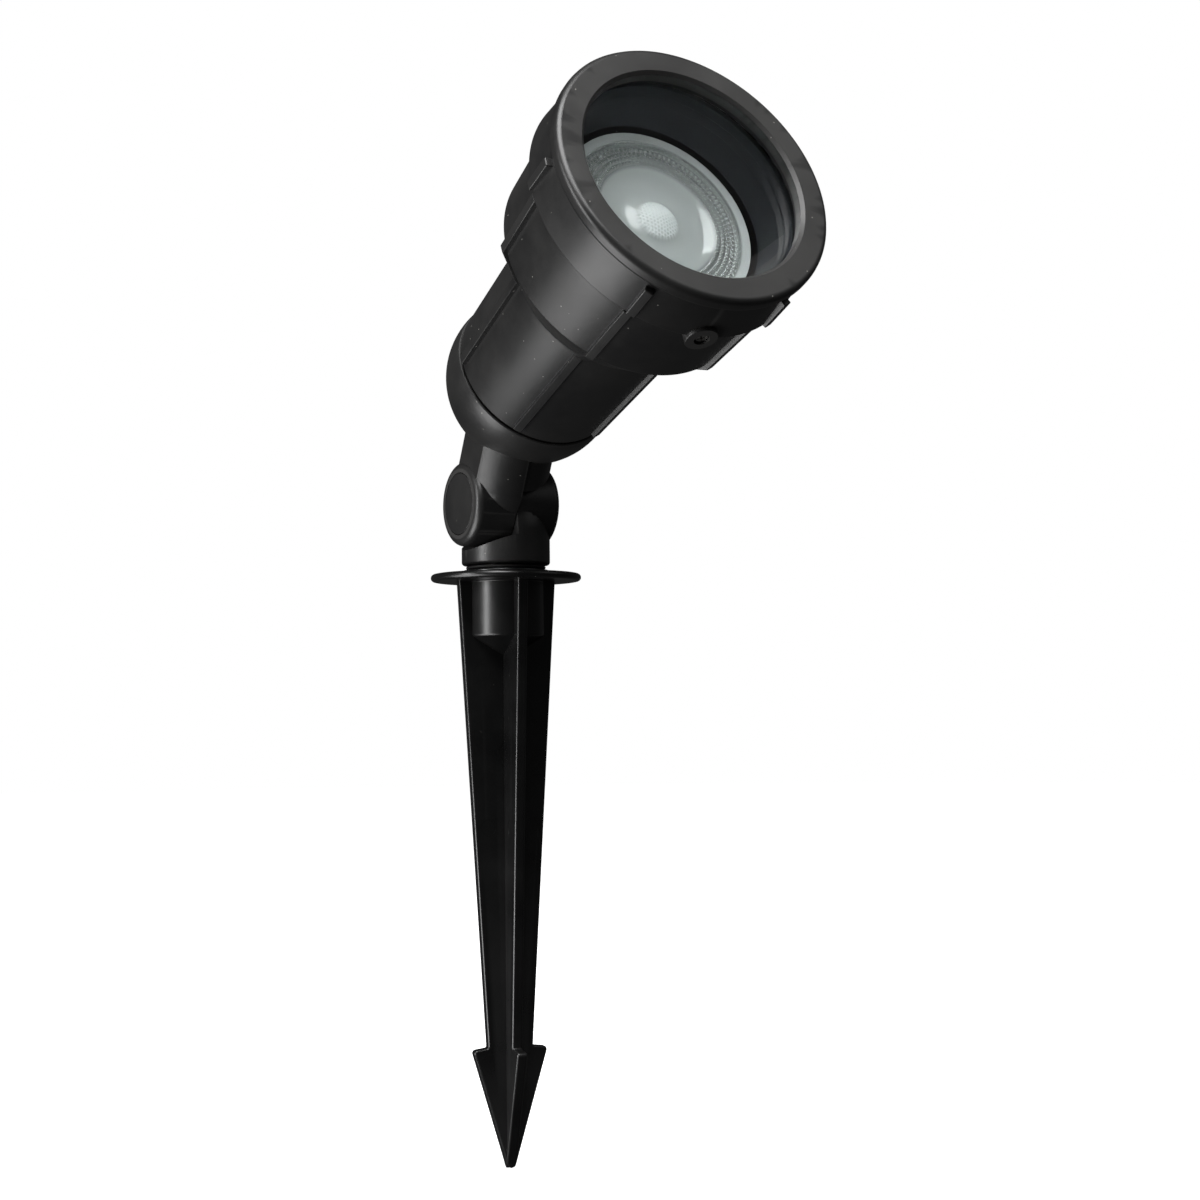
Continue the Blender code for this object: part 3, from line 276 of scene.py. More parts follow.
def add_mesh(name, bm, place=None):
    bmesh.ops.recalc_face_normals(bm, faces=bm.faces)
    mesh = bpy.data.meshes.new(name)
    bm.to_mesh(mesh)
    bm.free()
    if place is not None:
        mesh.transform(place)
    obj = bpy.data.objects.new(name, mesh)
    bpy.context.scene.collection.objects.link(obj)
    return obj


def rounded(corners):
    """Points of an open outline with arcs at its corners. A corner is (x, y, radius)."""
    points = []
    for index, (x, y, radius) in enumerate(corners):
        here = Vector((x, y))
        inner = 0 < index < len(corners) - 1
        if not inner or radius == 0.0:
            points.append((x, y))
            continue
        back = Vector(corners[index - 1][:2]) - here
        on = Vector(corners[index + 1][:2]) - here
        bend = back.angle(on)
        reach = min(radius / math.tan(bend / 2), 0.49 * back.length, 0.49 * on.length)
        start = here + back.normalized() * reach
        end = here + on.normalized() * reach
        true_radius = reach * math.tan(bend / 2)
        centre = here + (back.normalized() + on.normalized()).normalized() * (
            true_radius / math.sin(bend / 2))
        first = start - centre
        turn = first.angle_signed(end - centre)
        for step in range(CORNER_STEPS + 1):
            angle = -turn * step / CORNER_STEPS
            swung = Vector((first.x * math.cos(angle) - first.y * math.sin(angle),
                            first.x * math.sin(angle) + first.y * math.cos(angle)))
            points.append(tuple(centre + swung))
    return points


def arc(radius, first, last, steps, centre=(0.0, 0.0)):
    """Points of an arc as (across, up), angles in degrees from level."""
    angles = [math.radians(first + (last - first) * i / steps) for i in range(steps + 1)]
    return [(centre[0] + radius * math.cos(a), centre[1] + radius * math.sin(a))
            for a in angles]


def turned(name, profile, place=None, segments=ROUND):
    """Turn a profile of (radius, height) points about Z. Ends on the axis make it solid."""
    bm = bmesh.new()
    solid = profile[0][0] < 1e-9 and profile[-1][0] < 1e-9
    verts = [bm.verts.new((r, 0.0, z)) for r, z in profile]
    edges = [bm.edges.new(pair) for pair in zip(verts, verts[1:])]
    if not solid:
        edges.append(bm.edges.new((verts[-1], verts[0])))
    bmesh.ops.spin(bm, geom=verts + edges, cent=(0, 0, 0), axis=(0, 0, 1),
                   angle=2 * math.pi, steps=segments, use_merge=True)
    bmesh.ops.remove_doubles(bm, verts=bm.verts, dist=WELD)
    return add_mesh(name, bm, place)


def soften(bm, width):
    """Round every edge that turns by more than 45 degrees."""
    edges = [e for e in bm.edges if e.is_manifold and e.calc_face_angle() > math.radians(45)]
    bmesh.ops.bevel(bm, geom=edges, offset=width, segments=3, affect="EDGES", profile=0.5)


def prism(name, outline, low, high, place=None, edge=0.0):
    """Extrude an outline of (x, y) points along Z, with rounded edges."""
    bm = bmesh.new()
    bottom = [bm.verts.new((x, y, low)) for x, y in outline]
    face = bm.faces.new(bottom)
    made = bmesh.ops.extrude_face_region(bm, geom=[face])
    raised = [item for item in made["geom"] if isinstance(item, bmesh.types.BMVert)]
    bmesh.ops.translate(bm, verts=raised, vec=(0, 0, high - low))
    bmesh.ops.recalc_face_normals(bm, faces=bm.faces)
    if edge:
        soften(bm, edge)
    return add_mesh(name, bm, place)


def block(name, half_x, half_y, low, high, place=None, x=0.0):
    outline = [(x - half_x, -half_y), (x + half_x, -half_y), (x + half_x, half_y),
               (x - half_x, half_y)]
    return prism(name, outline, low, high, place)


def rod(radius, low, high):
    return [(0.0, high), (radius, high), (radius, low), (0.0, low)]


def boolean(target, tool, operation):
    modifier = target.modifiers.new(operation, "BOOLEAN")
    modifier.operation = operation
    modifier.object = tool
    modifier.solver = "EXACT"
    seen = target.evaluated_get(bpy.context.evaluated_depsgraph_get())
    mesh = bpy.data.meshes.new_from_object(seen)
    target.modifiers.clear()
    target.data = mesh
    bpy.data.objects.remove(tool, do_unlink=True)


def cut(target, *tools):
    for tool in tools:
        boolean(target, tool, "DIFFERENCE")


def join(target, *tools):
    for tool in tools:
        boolean(target, tool, "UNION")


def settle(obj, body, node, slot, looks, sharp=32.0):
    """Shade a finished piece, give it its material and let it stand for its CAD node."""
    obj.data.shade_smooth()
    obj.data.set_sharp_from_angle(angle=math.radians(sharp))
    weighted = obj.modifiers.new("weighted normals", "WEIGHTED_NORMAL")
    weighted.keep_sharp = True
    obj.data.materials.clear()
    obj.data.materials.append(looks[slot])
    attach(obj, body)
    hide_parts(node)
    return obj


# ---------------------------------------------------------------- materials

def node(tree, kind, **values):
    made = tree.nodes.new(kind)
    for key, value in values.items():
        setattr(made, key, value)
    return made


def noise(tree, scale, detail=3.0, roughness=0.5):
    """Noise in metres of the piece: scale is in features per metre."""
    place = node(tree, "ShaderNodeTexCoord")
    made = node(tree, "ShaderNodeTexNoise")
    made.inputs["Scale"].default_value = scale
    made.inputs["Detail"].default_value = detail
    made.inputs["Roughness"].default_value = roughness
    tree.links.new(place.outputs["Object"], made.inputs["Vector"])
    return made.outputs["Fac"]


def ramp(tree, value, stops):
    made = node(tree, "ShaderNodeValToRGB")
    elements = made.color_ramp.elements
    while len(elements) < len(stops):
        elements.new(0.5)
    for element, (place, color) in zip(elements, stops):
        element.position = place
        element.color = (*color, 1.0) if len(color) == 3 else color
    tree.links.new(value, made.inputs["Fac"])
    return made.outputs["Color"]


def spread(tree, value, low, high):
    """Map a noise's middle range to low..high."""
    made = node(tree, "ShaderNodeMapRange")
    made.inputs["From Min"].default_value = 0.3
    made.inputs["From Max"].default_value = 0.7
    made.inputs["To Min"].default_value = low
    made.inputs["To Max"].default_value = high
    tree.links.new(value, made.inputs["Value"])
    return made.outputs["Result"]


def new_material(name):
    material = bpy.data.materials.new(name)
    material.use_nodes = True
    return material, material.node_tree, material.node_tree.nodes["Principled BSDF"]


def bump(tree, shader, layers):
    """Stack bumps. A layer is (height output, depth in metres)."""
    normal = None
    for height, depth in layers:
        made = node(tree, "ShaderNodeBump")
        made.inputs["Strength"].default_value = 1.0
        made.inputs["Distance"].default_value = depth
        tree.links.new(height, made.inputs["Height"])
        if normal is not None:
            tree.links.new(normal, made.inputs["Normal"])
        normal = made.outputs["Normal"]
    tree.links.new(normal, shader.inputs["Normal"])


def painted_edge_highlight(tree, color, light, strength):
    """Painted highlight: lighten a colour where the surface turns over an outer edge."""
    geometry = node(tree, "ShaderNodeNewGeometry")
    edge = node(tree, "ShaderNodeMapRange")
    edge.inputs["From Min"].default_value = 0.53
    edge.inputs["From Max"].default_value = 0.62
    edge.inputs["To Max"].default_value = strength
    tree.links.new(geometry.outputs["Pointiness"], edge.inputs["Value"])
    mix = node(tree, "ShaderNodeMix", data_type="RGBA")
    mix.inputs["B"].default_value = (*light, 1.0)
    tree.links.new(edge.outputs["Result"], mix.inputs["Factor"])
    tree.links.new(color, mix.inputs["A"])
    return mix.outputs["Result"]


def dust(tree, color, tone, size):
    """Sparse pale specks, as on any handled dark plastic."""
    place = node(tree, "ShaderNodeTexCoord")
    cells = node(tree, "ShaderNodeTexVoronoi")
    cells.inputs["Scale"].default_value = SPECK_SCALE
    tree.links.new(place.outputs["Object"], cells.inputs["Vector"])
    near = node(tree, "ShaderNodeMath", operation="LESS_THAN")
    near.inputs[1].default_value = size
    tree.links.new(cells.outputs["Distance"], near.inputs[0])
    mix = node(tree, "ShaderNodeMix", data_type="RGBA")
    mix.inputs["B"].default_value = (*tone, 1.0)
    tree.links.new(near.outputs["Value"], mix.inputs["Factor"])
    tree.links.new(color, mix.inputs["A"])
    return mix.outputs["Result"]


def moulded(name, dark, light, rough, grain_depth, specks=0.0):
    """Injection-moulded black plastic with fine grain, flow marks and a painted highlight on outer
    edges.
    """
    material, tree, shader = new_material(name)
    fine = noise(tree, GRAIN_SCALE, 2.0)
    flow = noise(tree, FLOW_SCALE, 4.0, 0.6)
    color = ramp(tree, flow, [(0.35, dark), (0.7, light)])
    # painted highlight: outer edges lightened to stand in for the glints that light leaves on them
    color = painted_edge_highlight(tree, color, tuple(4 * c for c in light), 0.35)
    if specks:
        color = dust(tree, color, (0.30, 0.29, 0.27), specks)
    tree.links.new(color, shader.inputs["Base Color"])
    tree.links.new(spread(tree, flow, rough - 0.05, rough + 0.06), shader.inputs["Roughness"])
    ripple = noise(tree, RIPPLE_SCALE, 2.0)
    bump(tree, shader, [(ripple, RIPPLE_DEPTH), (fine, grain_depth)])
    return material


def rubber(name, tone):
    material, tree, shader = new_material(name)
    pores = noise(tree, 2600.0, 3.0)
    color = ramp(tree, pores, [(0.3, tuple(0.7 * c for c in tone)), (0.8, tone)])
    tree.links.new(color, shader.inputs["Base Color"])
    tree.links.new(spread(tree, pores, 0.62, 0.85), shader.inputs["Roughness"])
    bump(tree, shader, [(pores, 0.03 * MM)])
    return material


def metal(name, tone, rough):
    """Turned or rolled metal: streaks along one way and a patchy sheen."""
    material, tree, shader = new_material(name)
    shader.inputs["Metallic"].default_value = 1.0
    place = node(tree, "ShaderNodeTexCoord")
    stretch = node(tree, "ShaderNodeMapping")
    stretch.inputs["Scale"].default_value = (400.0, 400.0, 9000.0)
    streaks = node(tree, "ShaderNodeTexNoise")
    streaks.inputs["Scale"].default_value = 1.0
    tree.links.new(place.outputs["Object"], stretch.inputs["Vector"])
    tree.links.new(stretch.outputs["Vector"], streaks.inputs["Vector"])
    patches = noise(tree, 300.0, 3.0)
    color = ramp(tree, patches, [(0.3, tuple(0.72 * c for c in tone)), (0.75, tone)])
    tree.links.new(color, shader.inputs["Base Color"])
    tree.links.new(spread(tree, patches, rough - 0.07, rough + 0.12), shader.inputs["Roughness"])
    bump(tree, shader, [(streaks.outputs["Fac"], 0.01 * MM)])
    return material


def clear(name, tone, rough, ior, haze_scale, haze_depth):
    """Clear glass or lens plastic with faint waviness."""
    material, tree, shader = new_material(name)
    shader.inputs["Transmission Weight"].default_value = 1.0
    shader.inputs["IOR"].default_value = ior
    smear = noise(tree, 90.0, 4.0)
    color = ramp(tree, smear, [(0.3, tuple(0.97 * c for c in tone)), (0.7, tone)])
    tree.links.new(color, shader.inputs["Base Color"])
    tree.links.new(spread(tree, smear, rough, 2 * rough + 0.01), shader.inputs["Roughness"])
    bump(tree, shader, [(noise(tree, haze_scale, 1.0), haze_depth)])
    return material


def lens_plastic(name):
    """Clear plastic that turns milky under the honeycomb, in the bowl and at the rim."""
    material = clear(name, (0.94, 0.985, 0.98), 0.02, 1.49, 700.0, 0.01 * MM)
    tree = material.node_tree
    place = node(tree, "ShaderNodeTexCoord")
    offset = node(tree, "ShaderNodeVectorMath", operation="SUBTRACT")
    offset.inputs[1].default_value = HEAD.translation
    across = node(tree, "ShaderNodeVectorMath", operation="CROSS_PRODUCT")
    across.inputs[1].default_value = HEAD.col[2].xyz
    radius = node(tree, "ShaderNodeVectorMath", operation="LENGTH")
    share = node(tree, "ShaderNodeMapRange")
    share.inputs["From Max"].default_value = LAMP_R
    tree.links.new(place.outputs["Object"], offset.inputs[0])
    tree.links.new(offset.outputs["Vector"], across.inputs[0])
    tree.links.new(across.outputs["Vector"], radius.inputs[0])
    tree.links.new(radius.outputs["Value"], share.inputs["Value"])
    zones = [(0.0, 0.04), (PUPIL_R / LAMP_R - 0.02, 0.08), (PUPIL_R / LAMP_R + 0.03, 0.40),
             (BAND_IN / LAMP_R - 0.03, 0.50), (BAND_IN / LAMP_R + 0.01, 0.78),
             (BAND_OUT / LAMP_R - 0.01, 0.78), (BAND_OUT / LAMP_R + 0.02, 0.30)]
    clearness = ramp(tree, share.outputs["Result"], [(at, (v, v, v)) for at, v in zones])
    tree.links.new(clearness, tree.nodes["Principled BSDF"].inputs["Transmission Weight"])
    return material


def pale(name, dark, light, rough, scale, depth):
    """Pale opaque stuff: white plastic, glazed ceramic, printed board, wire skin."""
    material, tree, shader = new_material(name)
    mottle = noise(tree, scale, 4.0)
    color = ramp(tree, mottle, [(0.3, dark), (0.7, light)])
    tree.links.new(color, shader.inputs["Base Color"])
    tree.links.new(spread(tree, mottle, rough - 0.06, rough + 0.08), shader.inputs["Roughness"])
    bump(tree, shader, [(mottle, depth)])
    return material


def make_looks():
    """One material for each material slot of the record."""
    return {
        "black_spike_plastic": moulded("black_spike_plastic", (0.0025, 0.0025, 0.0026),
                                       (0.005, 0.005, 0.005), 0.3, 0.006 * MM, 0.02),
        "black_body_plastic": moulded("black_body_plastic", (0.011, 0.011, 0.0112),
                                      (0.0175, 0.0172, 0.0168), 0.37, 0.012 * MM, 0.04),
        "black_liner": moulded("black_liner", (0.006, 0.007, 0.009), (0.010, 0.012, 0.015),
                               0.5, 0.01 * MM),
        "seal_rubber": rubber("seal_rubber", (0.010, 0.010, 0.010)),
        "steel": metal("steel", (0.46, 0.45, 0.43), 0.34),
        "clear_glass": clear("clear_glass", (0.96, 0.985, 0.98), 0.0, 1.5, 60.0, 0.004 * MM),
        "clear_lens": lens_plastic("clear_lens"),
        "white_shell": pale("white_shell", (0.70, 0.71, 0.71), (0.80, 0.81, 0.80), 0.35,
                            600.0, 0.01 * MM),
        "circuit_board": pale("circuit_board", (0.02, 0.10, 0.05), (0.04, 0.17, 0.08), 0.4,
                              900.0, 0.02 * MM),
        "white_board": pale("white_board", (0.74, 0.75, 0.74), (0.86, 0.87, 0.86), 0.45,
                            1200.0, 0.01 * MM),
        "led_yellow": pale("led_yellow", (0.80, 0.56, 0.10), (0.90, 0.72, 0.22), 0.5,
                           3000.0, 0.03 * MM),
        "black_can": pale("black_can", (0.010, 0.010, 0.012), (0.03, 0.03, 0.034), 0.35,
                          800.0, 0.01 * MM),
        "ceramic": pale("ceramic", (0.70, 0.68, 0.62), (0.82, 0.80, 0.75), 0.3,
                        700.0, 0.03 * MM),
        "brass": metal("brass", (0.72, 0.52, 0.24), 0.3),
        "brown_wire": pale("brown_wire", (0.16, 0.06, 0.025), (0.24, 0.10, 0.045), 0.45,
                           1500.0, 0.02 * MM),
        "blue_wire": pale("blue_wire", (0.02, 0.07, 0.25), (0.04, 0.12, 0.38), 0.45,
                          1500.0, 0.02 * MM),
    }


# ---------------------------------------------------------------- ground spike

def fin_outline():
    """Outline of a pair of opposite fins and barbs, as (across, z)."""
    barb_z = -SHANK_LENGTH
    side = rounded([
        (FIN_TOP_R, FLANGE_T / 2, 0.0), (FIN_LOW_R, barb_z + BARB_SLOPE, BARB_SLOPE),
        (BARB_R, barb_z, BARB_ROUND), (TIP_R, TIP_Z + TIP_R, POINT_ROUND), (0.0, TIP_Z, 0.0),
    ])
    return side + [(-x, z) for x, z in side[-2::-1]]


def ground_spike(looks):
    top = FLANGE_T + COLLAR_H
    spike = turned("spike_moulding", rounded([
        (0.0, top, 0.0), (COLLAR_R, top, EDGE), (COLLAR_R, FLANGE_T, EDGE),
        (FLANGE_R, FLANGE_T, FLANGE_ROUND), (FLANGE_R, 0.0, FLANGE_ROUND),
        (SOCKET_OUTER_R, 0.0, 2 * FINE), (SOCKET_OUTER_R, -SOCKET_LENGTH, SOCKET_ROUND),
        (CONE_R, -SOCKET_LENGTH - SOCKET_CONE, 2 * EDGE),
        (0.0, -SOCKET_LENGTH - SOCKET_CONE, 0.0),
    ]))
    stand = Matrix.Rotation(math.pi / 2, 4, "X")
    for quarter in (0, 1):
        turn = Matrix.Rotation(SPIKE_TURN + quarter * math.pi / 2, 4, "Z")
        fins = prism("fins", fin_outline(), -FIN_T / 2, FIN_T / 2, turn @ stand, FIN_EDGE)
        join(spike, fins)
    for height in PIN_MARK_Z:
        share = -height / SHANK_LENGTH
        out = 0.62 * (FIN_TOP_R + (FIN_LOW_R - FIN_TOP_R) * share)
        for quarter in range(4):
            turn = Matrix.Rotation(SPIKE_TURN + quarter * math.pi / 2, 4, "Z")
            place = turn @ Matrix.Translation((out, 0, height)) @ stand
            for low in (FIN_T / 2 - PIN_MARK_DEPTH, -FIN_T / 2 - OVERLAP + PIN_MARK_DEPTH):
                cut(spike, turned("mark", rod(PIN_MARK_R, low, low + OVERLAP), place, 32))
    floor = SOCKET_FLOOR - SOCKET_LENGTH
    groove_r = SOCKET_R + SNAP_GROOVE
    cut(spike, turned("bore", [
        (0.0, top + OVERLAP), (SOCKET_R, top + OVERLAP), (SOCKET_R, SNAP_TOP),
        (groove_r, SNAP_TOP), (groove_r, SNAP_LOW), (SOCKET_R, SNAP_LOW), (SOCKET_R, floor),
        (0.0, floor),
    ], segments=COARSE))
    reach = (SOCKET_OUTER_R + OVERLAP - STEM_BORE_R) / 2
    turn = Matrix.Rotation(SPIKE_TURN + math.radians(45), 4, "Z")
    cut(spike, block("notch", reach, NOTCH_W / 2, floor + SOCKET_FLOOR / 2, floor + NOTCH_H,
                     turn, STEM_BORE_R + reach))
    settle(spike, "spike", "ground_spike", "black_spike_plastic", looks)


# ---------------------------------------------------------------- knuckle

def column(radius, low, up):
    """Round column with a tapered, ball-shaped end at the pin. up is +1 or -1."""
    ball = [(x, up * y) for x, y in arc(EAR_R, 90.0, 0.0, 24)]
    side = [(EAR_R + (radius - EAR_R) * (1 - math.cos(math.pi * i / 8)) / 2,
             -up * TAPER * i / 8) for i in range(1, 9)]
    return [(0.0, up * EAR_R)] + ball[1:] + side + [(radius, low)]


def barrel(name, face, end, place):
    length = abs(end - face)
    way = ALONG_X if end > face else ALONG_MINUS_X
    profile = [(0.0, length)] + arc(BARREL_ROUND, 90.0, 0.0, 10,
                                    (BARREL_R - BARREL_ROUND, length - BARREL_ROUND))
    profile += [(BARREL_R, 0.0), (0.0, 0.0)]
    return turned(name, profile, place @ Matrix.Translation((face, 0, 0)) @ way)


def dish(name, face, outward, centre_z, place):
    way = ALONG_X if outward > 0 else ALONG_MINUS_X
    spot = place @ Matrix.Translation((face, 0.0, centre_z))
    return turned(name, rod(DISH_R, 0.0, 2 * DISH_R), spot @ way, 2 * ROUND)


def chamber(name, face, outward, place):
    way = ALONG_X if outward > 0 else ALONG_MINUS_X
    return turned(name, [
        (0.0, HUB_SET), (HUB_R, HUB_SET), (HUB_R, CHAMBER_DEPTH),
        (CHAMBER_R, CHAMBER_DEPTH), (CHAMBER_R, -OVERLAP), (0.0, -OVERLAP),
    ], place @ Matrix.Translation((face, 0, 0)) @ way, COARSE)


def swivel_base(looks):
    face = SPLIT_X + HALF_GAP
    low = BASE_Z - PIVOT_Z
    stem_end = -STEM_LENGTH - PIVOT_Z
    foot = rounded([
        (BASE_R, low + FOOT_H, 0.0), (BASE_R, low, FOOT_ROUND), (STEM_R, low, 0.0),
    ])
    stem = [
        (STEM_R, SNAP_TOP - PIVOT_Z), (SNAP_R, SNAP_TOP - PIVOT_Z),
        (SNAP_R, SNAP_LOW - PIVOT_Z), (STEM_R, SNAP_LOW - PIVOT_Z), (STEM_R, stem_end),
        (0.0, stem_end),
    ]
    base = turned("base_moulding", column(BASE_R, low + FOOT_H, 1)[:-1] + foot + stem, PIVOT)
    join(base, barrel("drum", face - OVERLAP, BASE_END_X, PIVOT))
    cut(base, dish("dish", face, -1, DISH_R - DISH_CLEAR, PIVOT))
    cut(base, chamber("chamber", face, 1, PIVOT))
    pocket = BASE_END_X - PLUG_POCKET
    cut(base, turned("bolt_way", [
        (0.0, BOLT_WAY_START), (BOLT_WAY_R, BOLT_WAY_START), (BOLT_WAY_R, pocket),
        (PLUG_R + GAP, pocket), (PLUG_R + GAP, BASE_END_X + OVERLAP),
        (0.0, BASE_END_X + OVERLAP),
    ], PIVOT @ ALONG_X, COARSE))
    bore = turned("stem_bore", rod(STEM_BORE_R, stem_end - OVERLAP, STEM_BORE_TOP - PIVOT_Z),
                  PIVOT, COARSE)
    cut(base, bore)
    settle(base, "swivel", "swivel_base", "black_body_plastic", looks)

    plug = turned("plug_disc", rounded([
        (0.0, BASE_END_X, 0.0), (PLUG_R, BASE_END_X, EDGE),
        (PLUG_R, BASE_END_X - PLUG_T, FINE), (0.0, BASE_END_X - PLUG_T, 0.0),
    ]), PIVOT @ ALONG_X, COARSE)
    settle(plug, "swivel", "bolt_plug", "black_body_plastic", looks)

    low = FLANGE_T + COLLAR_H + GAP
    high = BASE_Z - GAP
    lip_r = RING_R - FULL
    ring = turned("seal_lip", [
        (SOCKET_R, high), (lip_r, high)
    ] + arc(FULL, 80.0, -80.0, 6, (lip_r, (low + high) / 2)) + [
        (lip_r, low), (SOCKET_R, low),
    ])
    settle(ring, "swivel", "stem_seal_ring", "seal_rubber", looks)


# ---------------------------------------------------------------- rear dome

def neck_half(name, radius, low_x, high_x):
    """One half of the neck: a round column kept between two planes across the pin."""
    top = NECK_LENGTH - DOME_R / 2
    profile = [(0.0, top), (radius, top)] + column(radius, top, -1)[::-1][1:]
    half = turned(name, profile, Matrix.Translation((SPLIT_X, 0, 0)))
    if low_x is not None:
        cut(half, block("left_of", NECK_R, 3 * NECK_R, -2 * NECK_R, NECK_LENGTH,
                        x=low_x - NECK_R))
    if high_x is not None:
        cut(half, block("right_of", 1.5 * NECK_R, 3 * NECK_R, -2 * NECK_R, NECK_LENGTH,
                        x=high_x + 1.5 * NECK_R))
    half.data.transform(NECK)
    return half


def rear_dome(looks):
    lip = ahead(SEAM_STATION + GAP)
    shell = arc(DOME_R, math.degrees(math.asin(lip / DOME_R)), -90.0, 48)
    inner_r = DOME_R - DOME_WALL
    face = SPLIT_X - HALF_GAP
    dome = turned("dome_moulding", [(0.0, lip), (shell[0][0] - DOME_EDGE, lip)]
                  + [(shell[0][0], lip - DOME_EDGE)] + shell[2:-1] + [(0.0, -DOME_R)], HEAD)
    stalk = neck_half("stalk", NECK_R - NECK_STEP, NECK_SIDE_X, None)
    join(stalk, neck_half("stalk_left", NECK_R + NECK_STEP, NECK_SIDE_X, face))
    join(stalk, barrel("drum", face + OVERLAP, HEAD_END_X, NECK))
    cut(stalk, dish("dish", face, 1, DISH_CLEAR - DISH_R, NECK))
    join(dome, stalk)
    cut(dome, turned("cavity", [(0.0, lip + OVERLAP), (inner_r, lip + OVERLAP)]
                     + arc(inner_r, 0.0, -90.0, 16)[:-1] + [(0.0, -inner_r)], HEAD, COARSE))
    cut(dome, chamber("chamber", face, -1, NECK))
    nut_x = HEAD_END_X + COVER_T + GAP
    cut(dome, turned("nut_way", [
        (0.0, SPLIT_X + OVERLAP), (BOLT_WAY_R, SPLIT_X + OVERLAP),
        (BOLT_WAY_R, nut_x + NUT_DEPTH), (NUT_R, nut_x + NUT_DEPTH), (NUT_R, nut_x),
        (COVER_R + COVER_AIR, nut_x),
        (COVER_R + COVER_AIR, HEAD_END_X - OVERLAP), (0.0, HEAD_END_X - OVERLAP),
    ], NECK @ ALONG_X))
    settle(dome, "head", "rear_dome", "black_body_plastic", looks)

    cover = turned("cover_disc", rounded([
        (0.0, HEAD_END_X, 0.0), (COVER_R, HEAD_END_X, CRISP),
        (COVER_R, HEAD_END_X + COVER_T, CRISP), (0.0, HEAD_END_X + COVER_T, 0.0),
    ]), NECK @ ALONG_X)
    settle(cover, "head", "nut_cover", "black_body_plastic", looks)


# ---------------------------------------------------------------- body and cap

def bars(name, points, angles):
    """A ring of equal ribs with rounded edges. Points are (station, outer radius)."""
    bm = bmesh.new()
    for angle in angles:
        out = Vector((math.cos(angle), math.sin(angle), 0.0))
        side = Vector((-math.sin(angle), math.cos(angle), 0.0)) * (RIB_W / 2)
        rows = []
        for station, radius in points:
            height = Vector((0.0, 0.0, ahead(station)))
            top = out * radius + height
            foot = out * (radius - RIB_DEPTH) + height
            rows.append([bm.verts.new(c) for c in (top - side, top + side, foot + side,
                                                   foot - side)])
        for near, far in zip(rows, rows[1:]):
            for k in range(4):
                bm.faces.new((near[k], near[(k + 1) % 4], far[(k + 1) % 4], far[k]))
        bm.faces.new(rows[0])
        bm.faces.new(rows[-1][::-1])
    bmesh.ops.recalc_face_normals(bm, faces=bm.faces)
    soften(bm, RIB_EDGE)
    return add_mesh(name, bm, HEAD)


def to_head(corners):
    """Corners given as (station, radius, rounding) as a rounded profile."""
    return rounded([(radius, ahead(station), soft) for station, radius, soft in corners])


def head_body(looks):
    end = SEAM_STATION
    groove_r = SLIM_REAR_R - SEAM_GROOVE
    body = turned("body_moulding", to_head([
        (BODY_STATION, 0.0, 0.0), (BODY_STATION, BODY_MOUTH_R, EDGE),
        (CAP_LENGTH, BODY_MOUTH_R, 0.0), (STEP_STATION, BODY_STEP_R, STEP_ROUND),
        (STEP_END, SLIM_FRONT_R, STEP_END_ROUND), (end - SEAM_GROOVE, SLIM_REAR_R, FINE),
        (end - SEAM_GROOVE, groove_r, 0.0), (end, groove_r, 0.0), (end, 0.0, 0.0),
    ]), HEAD)
    rib = BODY_RIB_H
    join(body, bars("bars", [
        (CAP_LENGTH + rib, BODY_MOUTH_R + rib), (STEP_STATION, BODY_STEP_R + rib),
        (STEP_END, SLIM_FRONT_R + rib), (end - SEAM_GROOVE - rib, SLIM_REAR_R + rib),
    ], BODY_RIB_ANGLES))
    hollow = to_head([
        (BODY_STATION - OVERLAP, 0.0, 0.0), (BODY_STATION - OVERLAP, BODY_MOUTH_R - WALL, 0.0),
        (CAP_LENGTH, BODY_MOUTH_R - WALL, 0.0),
        (STEP_STATION - WALL / 2, BODY_STEP_R - WALL, 0.0),
        (STEP_END - WALL / 2, SLIM_FRONT_R - WALL, 0.0),
        (BULKHEAD_STATION, SLIM_REAR_R - WALL, 0.0), (BULKHEAD_STATION, 0.0, 0.0),
    ])
    cut(body, turned("hollow", hollow, HEAD, COARSE))
    settle(body, "head", "head_body", "black_body_plastic", looks)


def radial(name, profile, side, segments=COARSE):
    """A turned piece laid along the head's +Y or -Y at the cap screws' station."""
    place = HEAD @ Matrix.Translation((0, 0, ahead(CAP_LENGTH)))
    return turned(name, profile, place @ Matrix.Rotation(-side * math.pi / 2, 4, "X"), segments)


